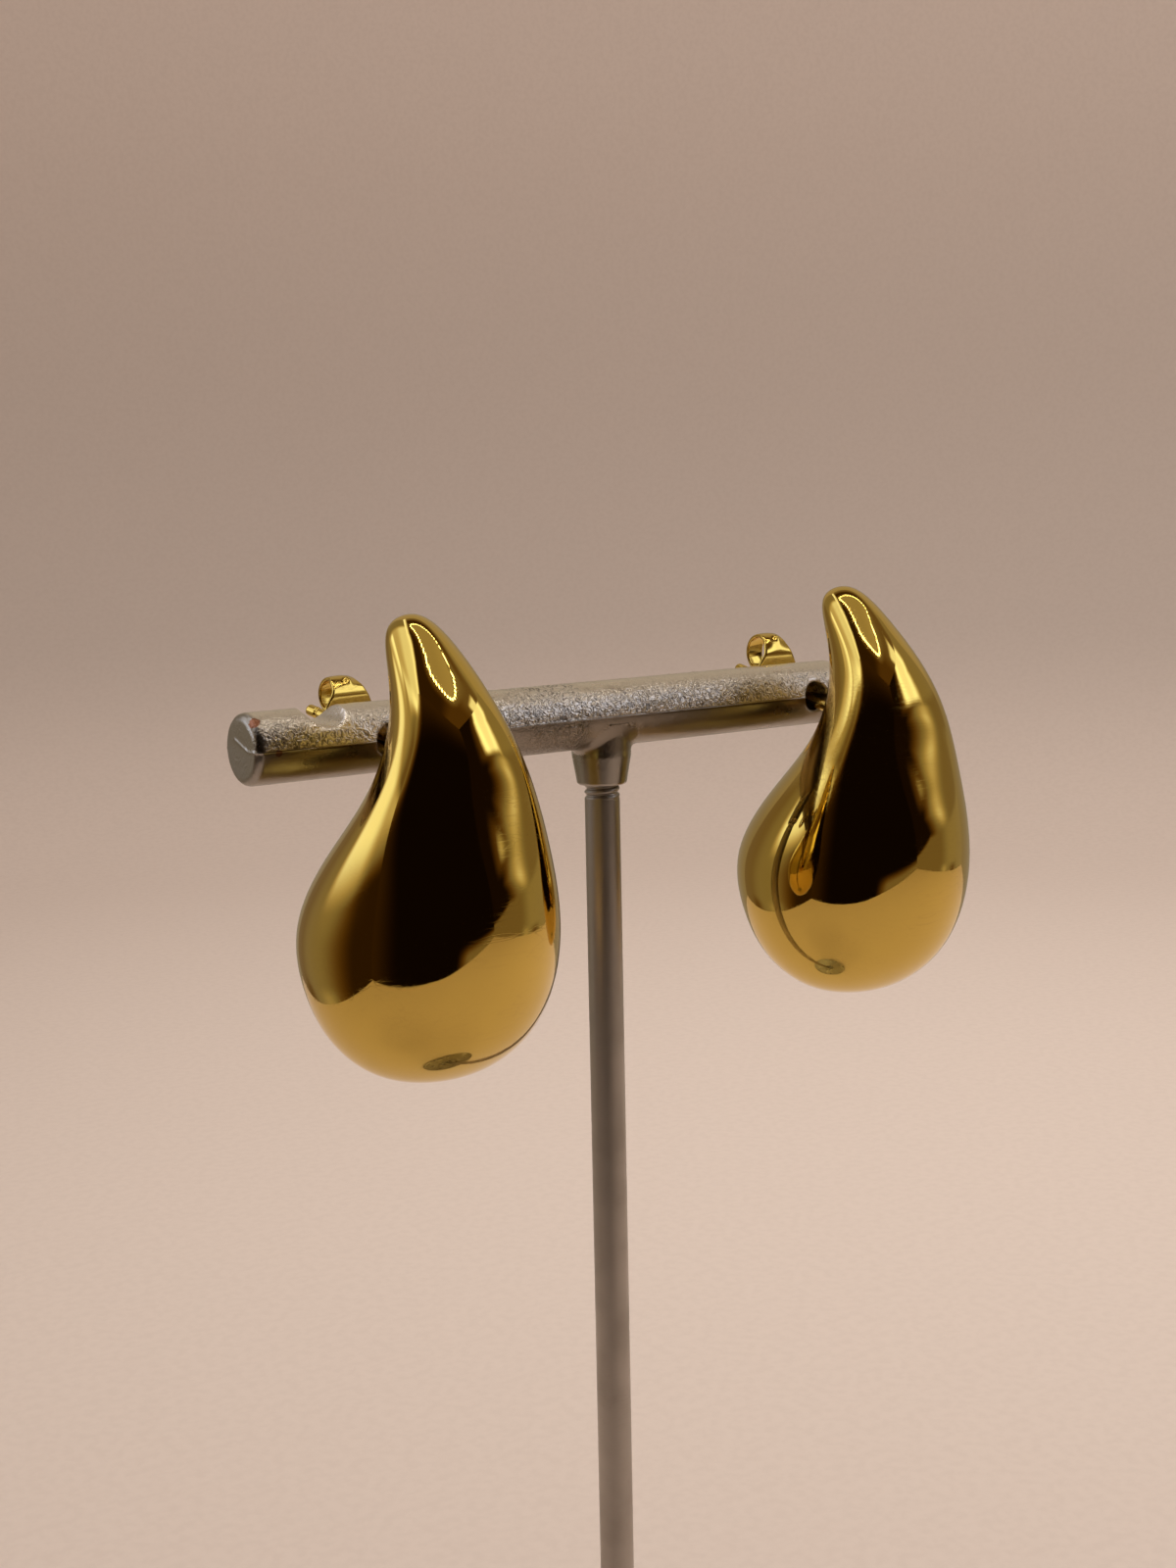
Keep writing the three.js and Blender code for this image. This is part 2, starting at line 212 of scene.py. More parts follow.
def cut(obj, operation, points, faces):
    """Joins a solid to obj (UNION), or cuts it out of obj (DIFFERENCE)."""
    tool = new_mesh("tool", points, faces)
    modifier = obj.modifiers.new(operation, "BOOLEAN")
    modifier.operation = operation
    modifier.solver = "MANIFOLD"
    modifier.object = tool
    bpy.context.view_layer.update()
    evaluated = obj.evaluated_get(bpy.context.evaluated_depsgraph_get())
    made = bpy.data.meshes.new_from_object(evaluated)
    cleaned = bmesh.new()
    cleaned.from_mesh(made)
    bmesh.ops.dissolve_degenerate(cleaned, dist=SLIVER * MM, edges=cleaned.edges[:])
    bmesh.ops.dissolve_verts(cleaned, verts=[v for v in cleaned.verts if len(v.link_edges) == 2])
    cleaned.to_mesh(made)
    cleaned.free()
    obj.modifiers.clear()
    obj.data = made
    bpy.data.objects.remove(tool)


def finish_piece(obj, material, body, node, sharp_above=35):
    """Gives a piece its metal, makes it ride on its body, and lets it stand for its CAD node."""
    shade(obj.data, sharp_above)
    obj.data.materials.clear()
    obj.data.materials.append(material)
    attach(obj, body)
    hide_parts(node)
    obj.data.calc_loop_triangles()
    print(f"{obj.name}: {len(obj.data.loop_triangles)} triangles")


def rise(low, high, value):
    """A soft step from 0 at low to 1 at high."""
    share = np.clip((value - low) / (high - low), 0, 1)
    return share * share * (3 - 2 * share)


def fall(low, high, value):
    """A soft step from 1 at low to 0 at high."""
    return 1 - rise(low, high, value)


def bell(value, width):
    """A soft hump: 1 at zero, and nearly 0 at twice the width."""
    return np.exp(-((value / width) ** 2))


def noise_at(points, size, seed=0.0):
    """Smooth noise of about -1 to 1 at points in millimetres, with bumps of the given size."""
    offset = Vector((seed * 17.3, seed * 5.1, seed * 11.7))
    flat = np.asarray(points).reshape(-1, 3) / size
    values = [noise.noise(Vector(p) + offset) for p in flat]
    return np.array(values).reshape(np.asarray(points).shape[:-1])


print("a bell at 0, 1 and 2 widths:", bell(np.arange(3), 1).round(2))

# %% [markdown]
# ## Material helpers
#
# A material is a small network of nodes. A few helpers keep the networks short: one adds a node with its
# settings and inputs, and the others do a sum, a noise or a mix and return its result.


# %% Node helpers
def put(tree, socket, value):
    """Sets a socket, or links it when the value is another node's output."""
    if isinstance(value, bpy.types.NodeSocket):
        tree.links.new(value, socket)
    else:
        socket.default_value = value


def add(tree, kind, inputs=None, **settings):
    """Adds a shader node of a kind, with its settings and then its inputs."""
    made = tree.nodes.new("ShaderNode" + kind)
    for name, value in settings.items():
        setattr(made, name, value)
    for name, value in (inputs or {}).items():
        put(tree, made.inputs[name], value)
    return made


def math_helper(operation):
    """A function that adds a Math node for one operation and returns its result."""

    def helper(tree, *values, clamp=False):
        return add(tree, "Math", dict(enumerate(values)), operation=operation, use_clamp=clamp).outputs[0]

    return helper


minus, times, over = map(math_helper, ("SUBTRACT", "MULTIPLY", "DIVIDE"))
times_plus, larger, size_of = map(math_helper, ("MULTIPLY_ADD", "MAXIMUM", "ABSOLUTE"))


def remap(tree, value, low, high, to_low=0.0, to_high=1.0):
    """Turns a range of a value into another range, with soft ends."""
    inputs = {"Value": value, "From Min": low, "From Max": high, "To Min": to_low, "To Max": to_high}
    return add(tree, "MapRange", inputs, interpolation_type="SMOOTHSTEP").outputs["Result"]


def noise_value(tree, point, scale, detail=2.0, twist=0.0):
    """The grey value of a noise texture. The scale is in bumps per metre."""
    inputs = {"Vector": point, "Scale": scale, "Detail": detail, "Distortion": twist}
    return add(tree, "TexNoise", inputs).outputs["Fac"]


def mix_colour(tree, share, first, second):
    return add(tree, "Mix", {0: share, 6: first, 7: second}, data_type="RGBA").outputs[2]


def emboss(tree, shader, height):
    """Makes the shader's normal follow a height in metres."""
    bump = add(tree, "Bump", {"Height": height, "Distance": 1.0, "Strength": 1.0})
    put(tree, shader["Normal"], bump.outputs[0])


def new_material(name):
    """A material, its nodes, its shader's inputs, and the point on the piece in metres."""
    material = bpy.data.materials.new(name)
    material.use_nodes = True
    tree = material.node_tree
    return material, tree, tree.nodes["Principled BSDF"].inputs, add(tree, "TexCoord").outputs["Object"]


def new_metal(name, colour, roughness):
    material, tree, shader, point = new_material(name)
    shader["Base Color"].default_value = colour
    shader["Metallic"].default_value = 1
    shader["Roughness"].default_value = roughness
    return material, tree, shader, point


def new_group(name, defaults, *results):
    """An empty node group. It takes a Point and inputs with these defaults, and gives numbers."""
    tree = bpy.data.node_groups.new(name, "ShaderNodeTree")
    for label, value in {"Point": (0.0, 0.0, 0.0), **defaults}.items():
        kind = "NodeSocketVector" if isinstance(value, tuple) else "NodeSocketFloat"
        tree.interface.new_socket(label, in_out="INPUT", socket_type=kind).default_value = value
    for label in results:
        tree.interface.new_socket(label, in_out="OUTPUT", socket_type="NodeSocketFloat")
    return tree, tree.nodes.new("NodeGroupInput").outputs, tree.nodes.new("NodeGroupOutput").inputs


def effect(tree, group, point, **values):
    """Places a node group and returns its outputs."""
    return add(tree, "Group", {"Point": point, **values}, node_tree=group).outputs


def count_nodes(name, tree):
    print(f"{name}: {len(tree.nodes)} nodes")


# %% [markdown]
# ## Effects that the metals share
#
# *Hairlines* are the fine straight scratches of polishing and handling. Real ones lie in many
# directions, so the group stretches a noise some thirty times along one direction, keeps only its
# steepest crossings, and does so for three directions.
#
# *Cast grain* is the crinkled skin that a mould leaves. The middle value of a noise makes thin winding
# lines, so its distance from that value gives creases. A coarse noise and a fine one break them up.
#
# *Ragged spot* marks one place where the plating is chipped or stained: the distance from a centre, with
# its edge torn by noise.


# %% Shared effect: hairlines
def hairline_group():
    tree, given, result = new_group("hairlines", {"Spacing": 0.001}, "Mask")
    per_metre = over(tree, 1.0, given["Spacing"])
    lines = 0.0
    for degrees, tilt in ((20, 65), (75, -50), (-35, 10)):
        turn = tuple(np.radians((tilt, degrees, 3 * degrees)))
        inputs = {"Vector": given["Point"], "Rotation": turn, "Scale": (0.03, 1, 1)}
        pattern = noise_value(tree, add(tree, "Mapping", inputs).outputs[0], per_metre)
        away = size_of(tree, minus(tree, pattern, 0.5))
        lines = larger(tree, lines, remap(tree, away, 0.0, 0.012, 1.0, 0.0))
    patches = noise_value(tree, given["Point"], times(tree, per_metre, 0.12))
    put(tree, result["Mask"], times(tree, lines, remap(tree, patches, 0.42, 0.68)))
    return tree


hairlines = hairline_group()
count_nodes("hairlines", hairlines)


# %% Shared effect: cast grain
def cast_grain_group():
    tree, given, result = new_group("cast_grain", {"Size": 0.0003}, "Height", "Pits")
    per_metre = over(tree, 1.0, given["Size"])
    coarse, winding, fine = (
        noise_value(tree, given["Point"], times(tree, per_metre, scale), detail, twist)
        for scale, detail, twist in ((0.45, 2.0, 0.0), (1.0, 1.5, 0.9), (1.9, 2.0, 0.4))
    )
    crease = size_of(tree, minus(tree, winding, 0.5))
    height = times_plus(tree, crease, 3.2, times(tree, coarse, 0.7))
    put(tree, result["Height"], times_plus(tree, fine, 0.6, height))
    put(tree, result["Pits"], remap(tree, crease, 0.0, 0.05, 1.0, 0.0))
    return tree


cast_grain = cast_grain_group()
count_nodes("cast grain", cast_grain)


# %% Shared effect: ragged spot
def ragged_spot_group():
    defaults = {"Centre": (0.0, 0.0, 0.0), "Radius": 0.0005, "Raggedness": 0.5}
    tree, given, result = new_group("ragged_spot", defaults, "Mask")
    ends = {0: given["Point"], 1: given["Centre"]}
    span = add(tree, "VectorMath", ends, operation="DISTANCE").outputs["Value"]
    torn = minus(tree, noise_value(tree, given["Point"], 2600.0, 3.0), 0.5)
    share = over(tree, span, given["Radius"])
    share = times_plus(tree, torn, times(tree, given["Raggedness"], 3.0), share)
    put(tree, result["Mask"], remap(tree, share, 0.85, 1.05, 1.0, 0.0))
    return tree


ragged_spot = ragged_spot_group()
count_nodes("ragged spot", ragged_spot)

# %% [markdown]
# ## Polished gold
#
# The drops are plated with bright gold. A mirror finish is mostly its surroundings, so the base colour
# is the metal's own tint and the roughness is low. What makes it look handled is a faint haze, a few
# hairlines and very slight waves from the polishing wheel.

# %% Gold plating
GOLD_TINT = (0.70, 0.49, 0.11, 1)
GOLD_WORN = (0.64, 0.44, 0.105, 1)  # in hazy patches and scratches
GOLD_GRAIN = 0.0000002  # how deep its grain is


def gold_material(name, roughness, haze, wave, scratch):
    """roughness and haze are the polish. wave and scratch are depths in metres."""
    material, tree, shader, point = new_metal(name, GOLD_TINT, roughness)
    cloud = remap(tree, noise_value(tree, point, 220.0, 5.0), 0.35, 0.75)
    lines = effect(tree, hairlines, point, Spacing=0.0011)["Mask"]
    rough = times_plus(tree, cloud, haze, roughness)
    put(tree, shader["Roughness"], times_plus(tree, lines, 0.12, rough))
    worn = times_plus(tree, lines, 0.6, times(tree, cloud, 0.35), clamp=True)
    put(tree, shader["Base Color"], mix_colour(tree, worn, GOLD_TINT, GOLD_WORN))
    height = times(tree, noise_value(tree, point, 420.0, 1.0), wave)
    height = times_plus(tree, noise_value(tree, point, 9000.0), GOLD_GRAIN, height)
    emboss(tree, shader, times_plus(tree, lines, -scratch, height))
    count_nodes(name, tree)
    return material


polished_gold = gold_material("polished_gold", 0.025, 0.03, 0.000003, 0.0000006)
clutch_gold = gold_material("clutch_gold", 0.12, 0.08, 0.000008, 0.000001)

# %% [markdown]
# ## Cast zinc
#
# The bar came out of a two-part mould. Its upper half kept the crinkled skin of the mould, and its lower
# half came from the smoother side. The parting fin runs between them. Height above the bar's axis is
# therefore the mask that mixes the two skins. The crinkles are deepest beside the fin, fade towards the
# top, and stop in the hook notches. A stain and a chip that bares copper sit at one end.

# %% Cast zinc: its colours, and where it is crinkled
ZINC_TINT = (0.82, 0.742, 0.668, 1)
ZINC_SHADED_UNDER = (0.30, 0.255, 0.205, 1)  # the smooth lower half, painted darker and browner as shade
ZINC_SHADED_ENDS_AND_BOSS = (0.38, 0.345, 0.30, 1)  # the ends and the boss, painted shade that is less dark than the lower half
# the dark tint of the pits, and of the painted shadow under the fin
PIT_AND_SHADOW_TINT = (0.17, 0.145, 0.12, 1)
CRINKLE_DEPTH = 0.00006

# The chip and the stain: centre in millimetres from the middle of the bar's axis, radius in metres,
# raggedness, strength and colour.
SPOTS = (
    ((-27.4, -1.4, 1.85), 0.0004, 0.6, 1.0, (0.34, 0.15, 0.09, 1)),
    ((-26.2, -2.35, -0.05), 0.00026, 0.4, 0.7, (0.12, 0.03, 0.02, 1)),
)


def crinkled_where(tree, along, above, rough_skin):
    """The mask of the crinkles, from the places along the bar and above its axis."""
    from_notch = minus(tree, size_of(tree, along), NOTCH_X * MM)
    clear = remap(tree, size_of(tree, from_notch), 0.0012, 0.0019, 0.25, 1.0)
    clear = larger(tree, clear, remap(tree, above, 0.0009, 0.0013, 1.0, 0.0))
    fade = times(tree, remap(tree, above, 0.0013, 0.0022, 1.0, 0.2), clear)
    # a patch of the lower half beside the boss is crinkled too
    patch_start = remap(tree, along, -0.0105, -0.006)
    patch_end = remap(tree, along, -0.0032, -0.002, 1.0, 0.0)
    return larger(tree, times(tree, rough_skin, fade), times(tree, patch_start, patch_end))


# %% Cast zinc
def cast_zinc_material():
    material, tree, shader, point = new_metal("cast_zinc", ZINC_TINT, 0.3)
    split = add(tree, "SeparateXYZ", {0: point}).outputs
    above = minus(tree, split["Z"], AXIS_HEIGHT * MM)
    patch = noise_value(tree, point, 180.0, 4.0)
    upper = remap(tree, above, 0.0, 0.00016)
    ends = remap(tree, size_of(tree, split["X"]), 0.0270, 0.0275)
    boss = remap(tree, above, -0.0023, -0.0027)
    from_end = minus(tree, 1.0, ends)
    rough_skin = times(tree, upper, from_end)
    crinkled = crinkled_where(tree, split["X"], above, rough_skin)

    grain = effect(tree, cast_grain, point, Size=0.00042)
    calm = effect(tree, cast_grain, point, Size=0.0005)
    depth = times(tree, grain["Height"], remap(tree, patch, 0.3, 0.7, 0.7, 1.15))
    height = times(tree, times(tree, depth, CRINKLE_DEPTH), crinkled)
    calm_depth = times_plus(tree, ends, 0.00001, 0.000005)
    emboss(tree, shader, times_plus(tree, calm["Height"], calm_depth, height))

    rough = remap(tree, patch, 0.3, 0.75, 0.26, 0.38)
    lines = effect(tree, hairlines, point, Spacing=0.0016)["Mask"]
    masks = {lines: 0.12, rough_skin: 0.03, crinkled: 0.11, ends: 0.06, boss: -0.06, upper: -0.06}
    for mask, change in masks.items():
        rough = times_plus(tree, mask, change, rough)
    put(tree, shader["Roughness"], rough)

    # painted shade: the lower half, the ends and the boss are coloured darker than the crinkled top
    under = mix_colour(tree, larger(tree, ends, boss), ZINC_SHADED_UNDER, ZINC_SHADED_ENDS_AND_BOSS)
    colour = mix_colour(tree, rough_skin, under, ZINC_TINT)
    pits = times(tree, grain["Pits"], times(tree, crinkled, 0.9))
    # painted shadow in the corner under the fin
    below_fin = remap(tree, above, -0.00024, -0.00012)
    corner = minus(tree, below_fin, remap(tree, above, -0.00004, 0.00004))
    fin_shadow = times(tree, corner, remap(tree, patch, 0.3, 0.6, 0.3, 0.9))
    pits_and_fin_shadow = larger(tree, pits, times(tree, fin_shadow, from_end))
    # the pits and the painted shadow under the fin take the dark tint
    colour = mix_colour(tree, pits_and_fin_shadow, colour, PIT_AND_SHADOW_TINT)
    for place, radius, raggedness, strength, tint in SPOTS:
        centre = (Vector(place) + Vector((0, 0, AXIS_HEIGHT))) * MM
        spot = effect(tree, ragged_spot, point, Centre=centre, Radius=radius, Raggedness=raggedness)
        colour = mix_colour(tree, times(tree, spot["Mask"], strength), colour, tint)
    put(tree, shader["Base Color"], colour)
    count_nodes("cast_zinc", tree)
    return material


cast_zinc = cast_zinc_material()

# %% [markdown]
# ## Satin steel
#
# The pole is drawn wire and the foot is turned, so both carry fine lines. The pole's run along it, and
# the foot's run round it. A noise that is stretched one way gives both: the pole stretches it along its
# height, and the foot reads it by the distance from the axis.

# %% Satin steel
STEEL_TINT = (0.46, 0.415, 0.37, 1)
STEEL_DULL = (0.35, 0.31, 0.265, 1)
STEEL_LINE, STEEL_SCRATCH = 0.0000012, 0.000001  # how deep they are


def satin_steel_material(name, is_turned, roughness):
    material, tree, shader, point = new_metal(name, STEEL_TINT, roughness)
    if is_turned:
        split = add(tree, "SeparateXYZ", {0: point}).outputs
        flat = add(tree, "CombineXYZ", {"X": split["X"], "Y": split["Y"], "Z": 0.0}).outputs[0]
        span = add(tree, "VectorMath", {0: flat}, operation="LENGTH").outputs["Value"]
        stretched = add(tree, "CombineXYZ", {"X": span, "Y": split["Z"], "Z": 0.0}).outputs[0]
    else:
        stretched = add(tree, "Mapping", {"Vector": point, "Scale": (1.0, 1.0, 0.02)}).outputs[0]
    lines = effect(tree, hairlines, point, Spacing=0.0014)["Mask"]
    height = times(tree, noise_value(tree, stretched, 7000.0, 3.0), STEEL_LINE)
    emboss(tree, shader, times_plus(tree, lines, -STEEL_SCRATCH, height))
    cloud = remap(tree, noise_value(tree, point, 260.0, 4.0), 0.3, 0.75)
    rough = times_plus(tree, cloud, 0.1, roughness)
    put(tree, shader["Roughness"], times_plus(tree, lines, 0.1, rough))
    put(tree, shader["Base Color"], mix_colour(tree, times(tree, cloud, 0.5), STEEL_TINT, STEEL_DULL))
    count_nodes(name, tree)
    return material


satin_pole = satin_steel_material("satin_steel_drawn", False, 0.38)
satin_base = satin_steel_material("satin_steel_turned", True, 0.26)

# %% [markdown]
# ## The drop
#
# The drop is an electroformed shell: wax was carved, plated and melted out, which is why it is so light
# for its size. Level sections describe it best. Each is an oval with a half width and a depth, and the
# middle of the oval moves forward where the neck bends over the bar. Smooth curves through eleven
# sections give every section between them, the same way as in the CAD model.

# %% Sections of the drop
DROP_HEIGHT = 30.0
DROP_TIP = 8.3  # above the bar's axis

# forward of the bar's axis, half width, depth over width, and how far the sides lean forward
DROP_SECTIONS = np.array(
    [
        (5.3, 0.0, 1.05, -0.08),
        (5.5, 1.5, 1.05, -0.08),
        (7.0, 2.5, 1.0, 0.05),
        (8.95, 3.5, 0.98, 0.12),
        (9.3, 5.2, 0.84, 0.12),
        (7.7, 7.1, 0.97, 0.04),
        (6.3, 8.3, 1.04, 0.0),
        (6.15, 8.0, 0.99, 0.0),
        (6.15, 6.4, 0.94, 0.0),
        (6.1, 3.7, 0.87, 0.0),
        (5.6, 0.0, 0.95, 0.0),
    ]
)


def spline_through(values, flat_ends):
    """A smooth function of 0 to 1 through evenly spaced values. Flat ends have no slope."""
    count = len(values)
    system = np.zeros((count, count))
    bend = np.zeros(count)
    for i in range(1, count - 1):
        system[i, i - 1 : i + 2] = (1, 4, 1)
        bend[i] = 6 * (values[i - 1] - 2 * values[i] + values[i + 1])
    system[0, 0] = system[-1, -1] = 1
    if flat_ends:
        system[0, :2] = (2, 1)
        system[-1, -2:] = (1, 2)
        bend[0] = 6 * (values[1] - values[0])
        bend[-1] = 6 * (values[-2] - values[-1])
    second = np.linalg.solve(system, bend)

    def at(share):
        place = np.asarray(share) * (count - 1)
        i = np.clip(np.floor(place).astype(int), 0, count - 2)
        b = place - i
        a = 1 - b
        straight = a * values[i] + b * values[i + 1]
        return straight + ((a**3 - a) * second[i] + (b**3 - b) * second[i + 1]) / 6

    return at


forward_at, half_width_at, depth_at, lean_at = (
    spline_through(DROP_SECTIONS[:, column], column != 1) for column in range(4)
)


def drop_point(share, turn):
    """A point of the drop's skin, from the tip, 0, to the lowest point, 1. turn goes round it."""
    half_width = half_width_at(share)
    back = np.cos(turn) - lean_at(share) * np.cos(2 * turn)
    x = half_width * np.sin(turn)
    y = -forward_at(share) - half_width * depth_at(share) * back
    z = DROP_TIP - DROP_HEIGHT * (1 - np.cos(share * np.pi)) / 2
    return np.stack(np.broadcast_arrays(x, y, z), -1)


print("widest section:", round(2 * float(half_width_at(np.linspace(0, 1, 200)).max()), 2), "mm")

# %% [markdown]
# A mirror shows every facet, so the outer skin is very fine. The inner skin lies one wall's thickness
# inside it, and a boolean cut makes the shell and its vent. The wheel leaves waves of a few thousandths
# of a millimetre, which are enough to make reflections move. The rings run from the tip down, so each is
# turned over to keep the faces' outer sides out.

# %% Shell of the drop
DROP_WALL = 0.65
OUTER_GRID, INNER_GRID = (190, 216), (60, 72)  # rows, and points round each
WAVE_HEIGHT, WAVE_SIZE = 0.004, 3.0
VENT_RADIUS = 0.6
VENT_BELOW = 3.4  # below the bar's axis, in the back of the neck
NEARBY = 1e-3  # how far away the slope of the skin is measured


def drop_skin(grid, inset, x, waves=0.0):
    """The skin of the drop that hangs at x, or a skin that lies inside it by the inset."""
    rows, sides = grid
    share = (np.arange(1, rows) / rows)[:, None]
    turn = circle(sides)
    along = drop_point(share + NEARBY, turn) - drop_point(share - NEARBY, turn)
    around = drop_point(share, turn + NEARBY) - drop_point(share, turn - NEARBY)
    outward = np.cross(along, around)
    outward /= np.linalg.norm(outward, axis=-1, keepdims=True)
    hung = np.array((x, 0, AXIS_HEIGHT))
    rings = drop_point(share, turn) + hung
    move = waves * noise_at(rings, WAVE_SIZE, 1) - inset
    tip = drop_point(0, 0) + hung - (0, 0, inset)
    low = drop_point(1, 0) + hung + (0, 0, inset)
    return skin((rings + outward * move[..., None])[:, ::-1], tip, low)


def laid_back(points):
    """Points that were turned about Z, laid down so that they run along +Y."""
    return np.stack([points[..., 0], points[..., 2], -points[..., 1]], -1)


def along_post(points, side):
    """Points that run along +Y, placed in the hole and turned as the earring's post is."""
    place = Matrix.Translation((HOLE_X[side], 0, AXIS_HEIGHT))
    yaw, tilt = rotation(EARRINGS[side]["yaw"], "Z"), rotation(EARRINGS[side]["tilt"], "X")
    matrix = np.array(place @ yaw @ tilt)
    return points @ matrix[:3, :3].T + matrix[:3, 3]


print("shell of", DROP_WALL, "mm, with a vent", 2 * VENT_RADIUS, "mm wide")

# %% [markdown]
# The post is wire, butted against the shell and soldered. The solder makes a small concave cone round
# its foot. Near its free end a groove stops the clutch from slipping off.

# %% Post and finished drops
POST_RADIUS = 0.4
POST_END = 7.2
POST_ROUND = 0.2
GROOVE_DEPTH, GROOVE_WIDTH = 0.07, 0.11
GROOVE_AT = POST_END - 1.1


def post_profile():
    foot = [(0.9, -5.1), (0.88, -4.92), (0.8, -4.78), (0.68, -4.66), (0.57, -4.52), (0.48, -4.34)]
    foot += [(0.43, -4.14), (0.405, -3.95), (POST_RADIUS, -3.75)]
    steps = np.linspace(-0.3, 0.3, 13)
    groove = [(POST_RADIUS - GROOVE_DEPTH * bell(step, GROOVE_WIDTH), GROOVE_AT + step) for step in steps]
    inner, low = POST_RADIUS - POST_ROUND, POST_END - POST_ROUND
    angles = np.linspace(0, np.pi / 2, 9)[:-1]
    end = [(inner + POST_ROUND * np.cos(a), low + POST_ROUND * np.sin(a)) for a in angles]
    return foot + groove + end + [(0.12, POST_END)]


def make_drop(side):
    x = HOLE_X[side]
    drop = new_mesh("gold_drop_" + side, *drop_skin(OUTER_GRID, 0.0, x, WAVE_HEIGHT))
    cut(drop, "DIFFERENCE", *drop_skin(INNER_GRID, DROP_WALL, x))
    vent = laid_back(turned([(VENT_RADIUS, -6), (VENT_RADIUS, 0)], 48))
    cut(drop, "DIFFERENCE", *skin(vent + (x, 0, AXIS_HEIGHT - VENT_BELOW)))
    cut(drop, "UNION", *skin(along_post(laid_back(turned(post_profile(), 48)), side)))
    finish_piece(drop, polished_gold, "stand", "drop_" + side)


for side in SIDES:
    make_drop(side)

# %% [markdown]
# ## The clutch
#
# A butterfly clutch is one strip of thin sheet. Its middle is a plate with a pierced hole, and both ends
# are rolled back into scrolls that close behind the plate and press on the post. The strip is swept along
# that line. Its section is a flat bar with round edges, which changes width on the way. A collar is
# stamped round the hole, and each scroll has the small dimple that the rolling tool leaves.

# %% Strip of the clutch
GAUGE = 0.25
SCROLL_GAP = 0.05  # between each scroll and the post
SCROLL_END_TURN = np.radians(-130)
DIMPLE_TURN = np.radians(114)
DIMPLE_ACROSS = 0.3
BORE_RADIUS = 0.47

# distances along the strip from the middle of the plate, and the strip's half width at each
STRIP_LENGTHS = (0, 1.3, 1.8, 2.4, 3.1, 3.7, 4.6, 7, 10)
STRIP_WIDTHS = (2.05, 1.95, 1.7, 1.35, 1.12, 0.88, 0.8, 0.75, 0.5)


def evenly(line, count, endpoint=True):
    """Evenly spaced points along a line, and the distance along it of each."""
    lengths = np.concatenate([[0], np.cumsum(np.linalg.norm(np.diff(line, axis=0), axis=1))])
    even = np.linspace(0, lengths[-1], count, endpoint=endpoint)
    return np.stack([np.interp(even, lengths, column) for column in line.T], -1), even


def scroll_line(side, count):
    """The middle line of the strip's upper half, as (along the post, across it), and its dimple's place."""
    radius = EARRINGS[side]["scroll_radius"]
    plate = EARRINGS[side]["clutch_face"] + GAUGE / 2
    middle = POST_RADIUS + SCROLL_GAP + GAUGE / 2 + radius
    angles = np.linspace(np.pi, SCROLL_END_TURN, 120)
    roll = np.stack([plate + radius + radius * np.cos(angles), middle + radius * np.sin(angles)], -1)
    points, lengths = evenly(np.vstack([[(plate, 0)], roll]), count)
    return points, lengths, middle + radius * (np.pi - DIMPLE_TURN)


def strip_section(half_width, steps=28, edge_steps=5):
    """The strip's section as (across, out) pairs: two faces and two round edges."""
    half = GAUGE / 2
    edge = half_width - half
    flat = np.linspace(-edge, edge, steps)
    angles = np.linspace(-np.pi / 2, np.pi / 2, edge_steps + 2)[1:-1]
    right = [(edge + half * np.cos(a), half * np.sin(a)) for a in angles]
    lower = [(s, -half) for s in flat]
    upper = [(s, half) for s in flat[::-1]]
    left = [(-p[0], -p[1]) for p in right]
    return np.array(lower + right + upper + left)


for side in SIDES:
    print(f"strip of the {side} clutch: {2 * scroll_line(side, 150)[1][-1]:.1f} mm long")


# %% Clutch
def strip_rings(side):
    upper, lengths, dimple_at = scroll_line(side, 150)
    line = np.vstack([upper[:0:-1] * (1, -1), upper])
    signed = np.concatenate([-lengths[:0:-1], lengths])
    tangents = np.gradient(line, axis=0)
    tangents /= np.linalg.norm(tangents, axis=1, keepdims=True)
    normals = np.stack([-tangents[:, 1], tangents[:, 0]], -1)
    kernel = bell(np.linspace(-2, 2, 13), 1.0)
    widths = np.pad(np.interp(np.abs(signed), STRIP_LENGTHS, STRIP_WIDTHS), 6, mode="edge")
    widths = np.convolve(widths, kernel / kernel.sum(), mode="valid")
    rings = []
    for place, normal, length, half_width in zip(line, normals, signed, widths):
        across, out = strip_section(half_width).T
        crown = 0.09 * (across / 0.9) ** 2 * rise(2.4, 3.2, abs(length))
        collar = 0.1 * bell(np.hypot(across, length) - 0.62, 0.2)
        dimple = 0.13 * bell(np.hypot(across - DIMPLE_ACROSS, 0.75 * (abs(length) - dimple_at)), 0.26)
        out = out + dimple - collar - crown
        rings.append(np.stack([across, place[0] + out * normal[0], place[1] + out * normal[1]], -1))
    return np.array(rings)


def make_clutch(side):
    clutch = new_mesh("gold_clutch_" + side, *skin(along_post(strip_rings(side), side)[:, ::-1]))
    face = EARRINGS[side]["clutch_face"]
    bore = laid_back(turned([(BORE_RADIUS, face - 0.4), (BORE_RADIUS, face + 0.5)], 48))
    cut(clutch, "DIFFERENCE", *skin(along_post(bore, side)))
    finish_piece(clutch, clutch_gold, "clutch_" + side, "clutch_" + side, 50)


for side in SIDES:
    make_clutch(side)

# %% [markdown]
# ## The crossbar
#
# The bar is one casting with its boss. Its skin is a grid of rows along the bar and points round it, and
# every feature that the mould gave is a change of that grid: the rounded ends, the two hook notches, the
# thin wavy fin where the mould's halves met, and the lumps of the cast skin. Points crowd at the fin. Only
# what was drilled, the post holes and the pole's socket, is cut out with booleans.

# %% Bar: its rows, its angles and its fin
END_ROUND = 0.55
ROW_STEP = 0.13
FIN_MEAN, FIN_CHANGE, FIN_MOST = 0.075, 0.05, 0.12
FIN_WIDTH = 0.06


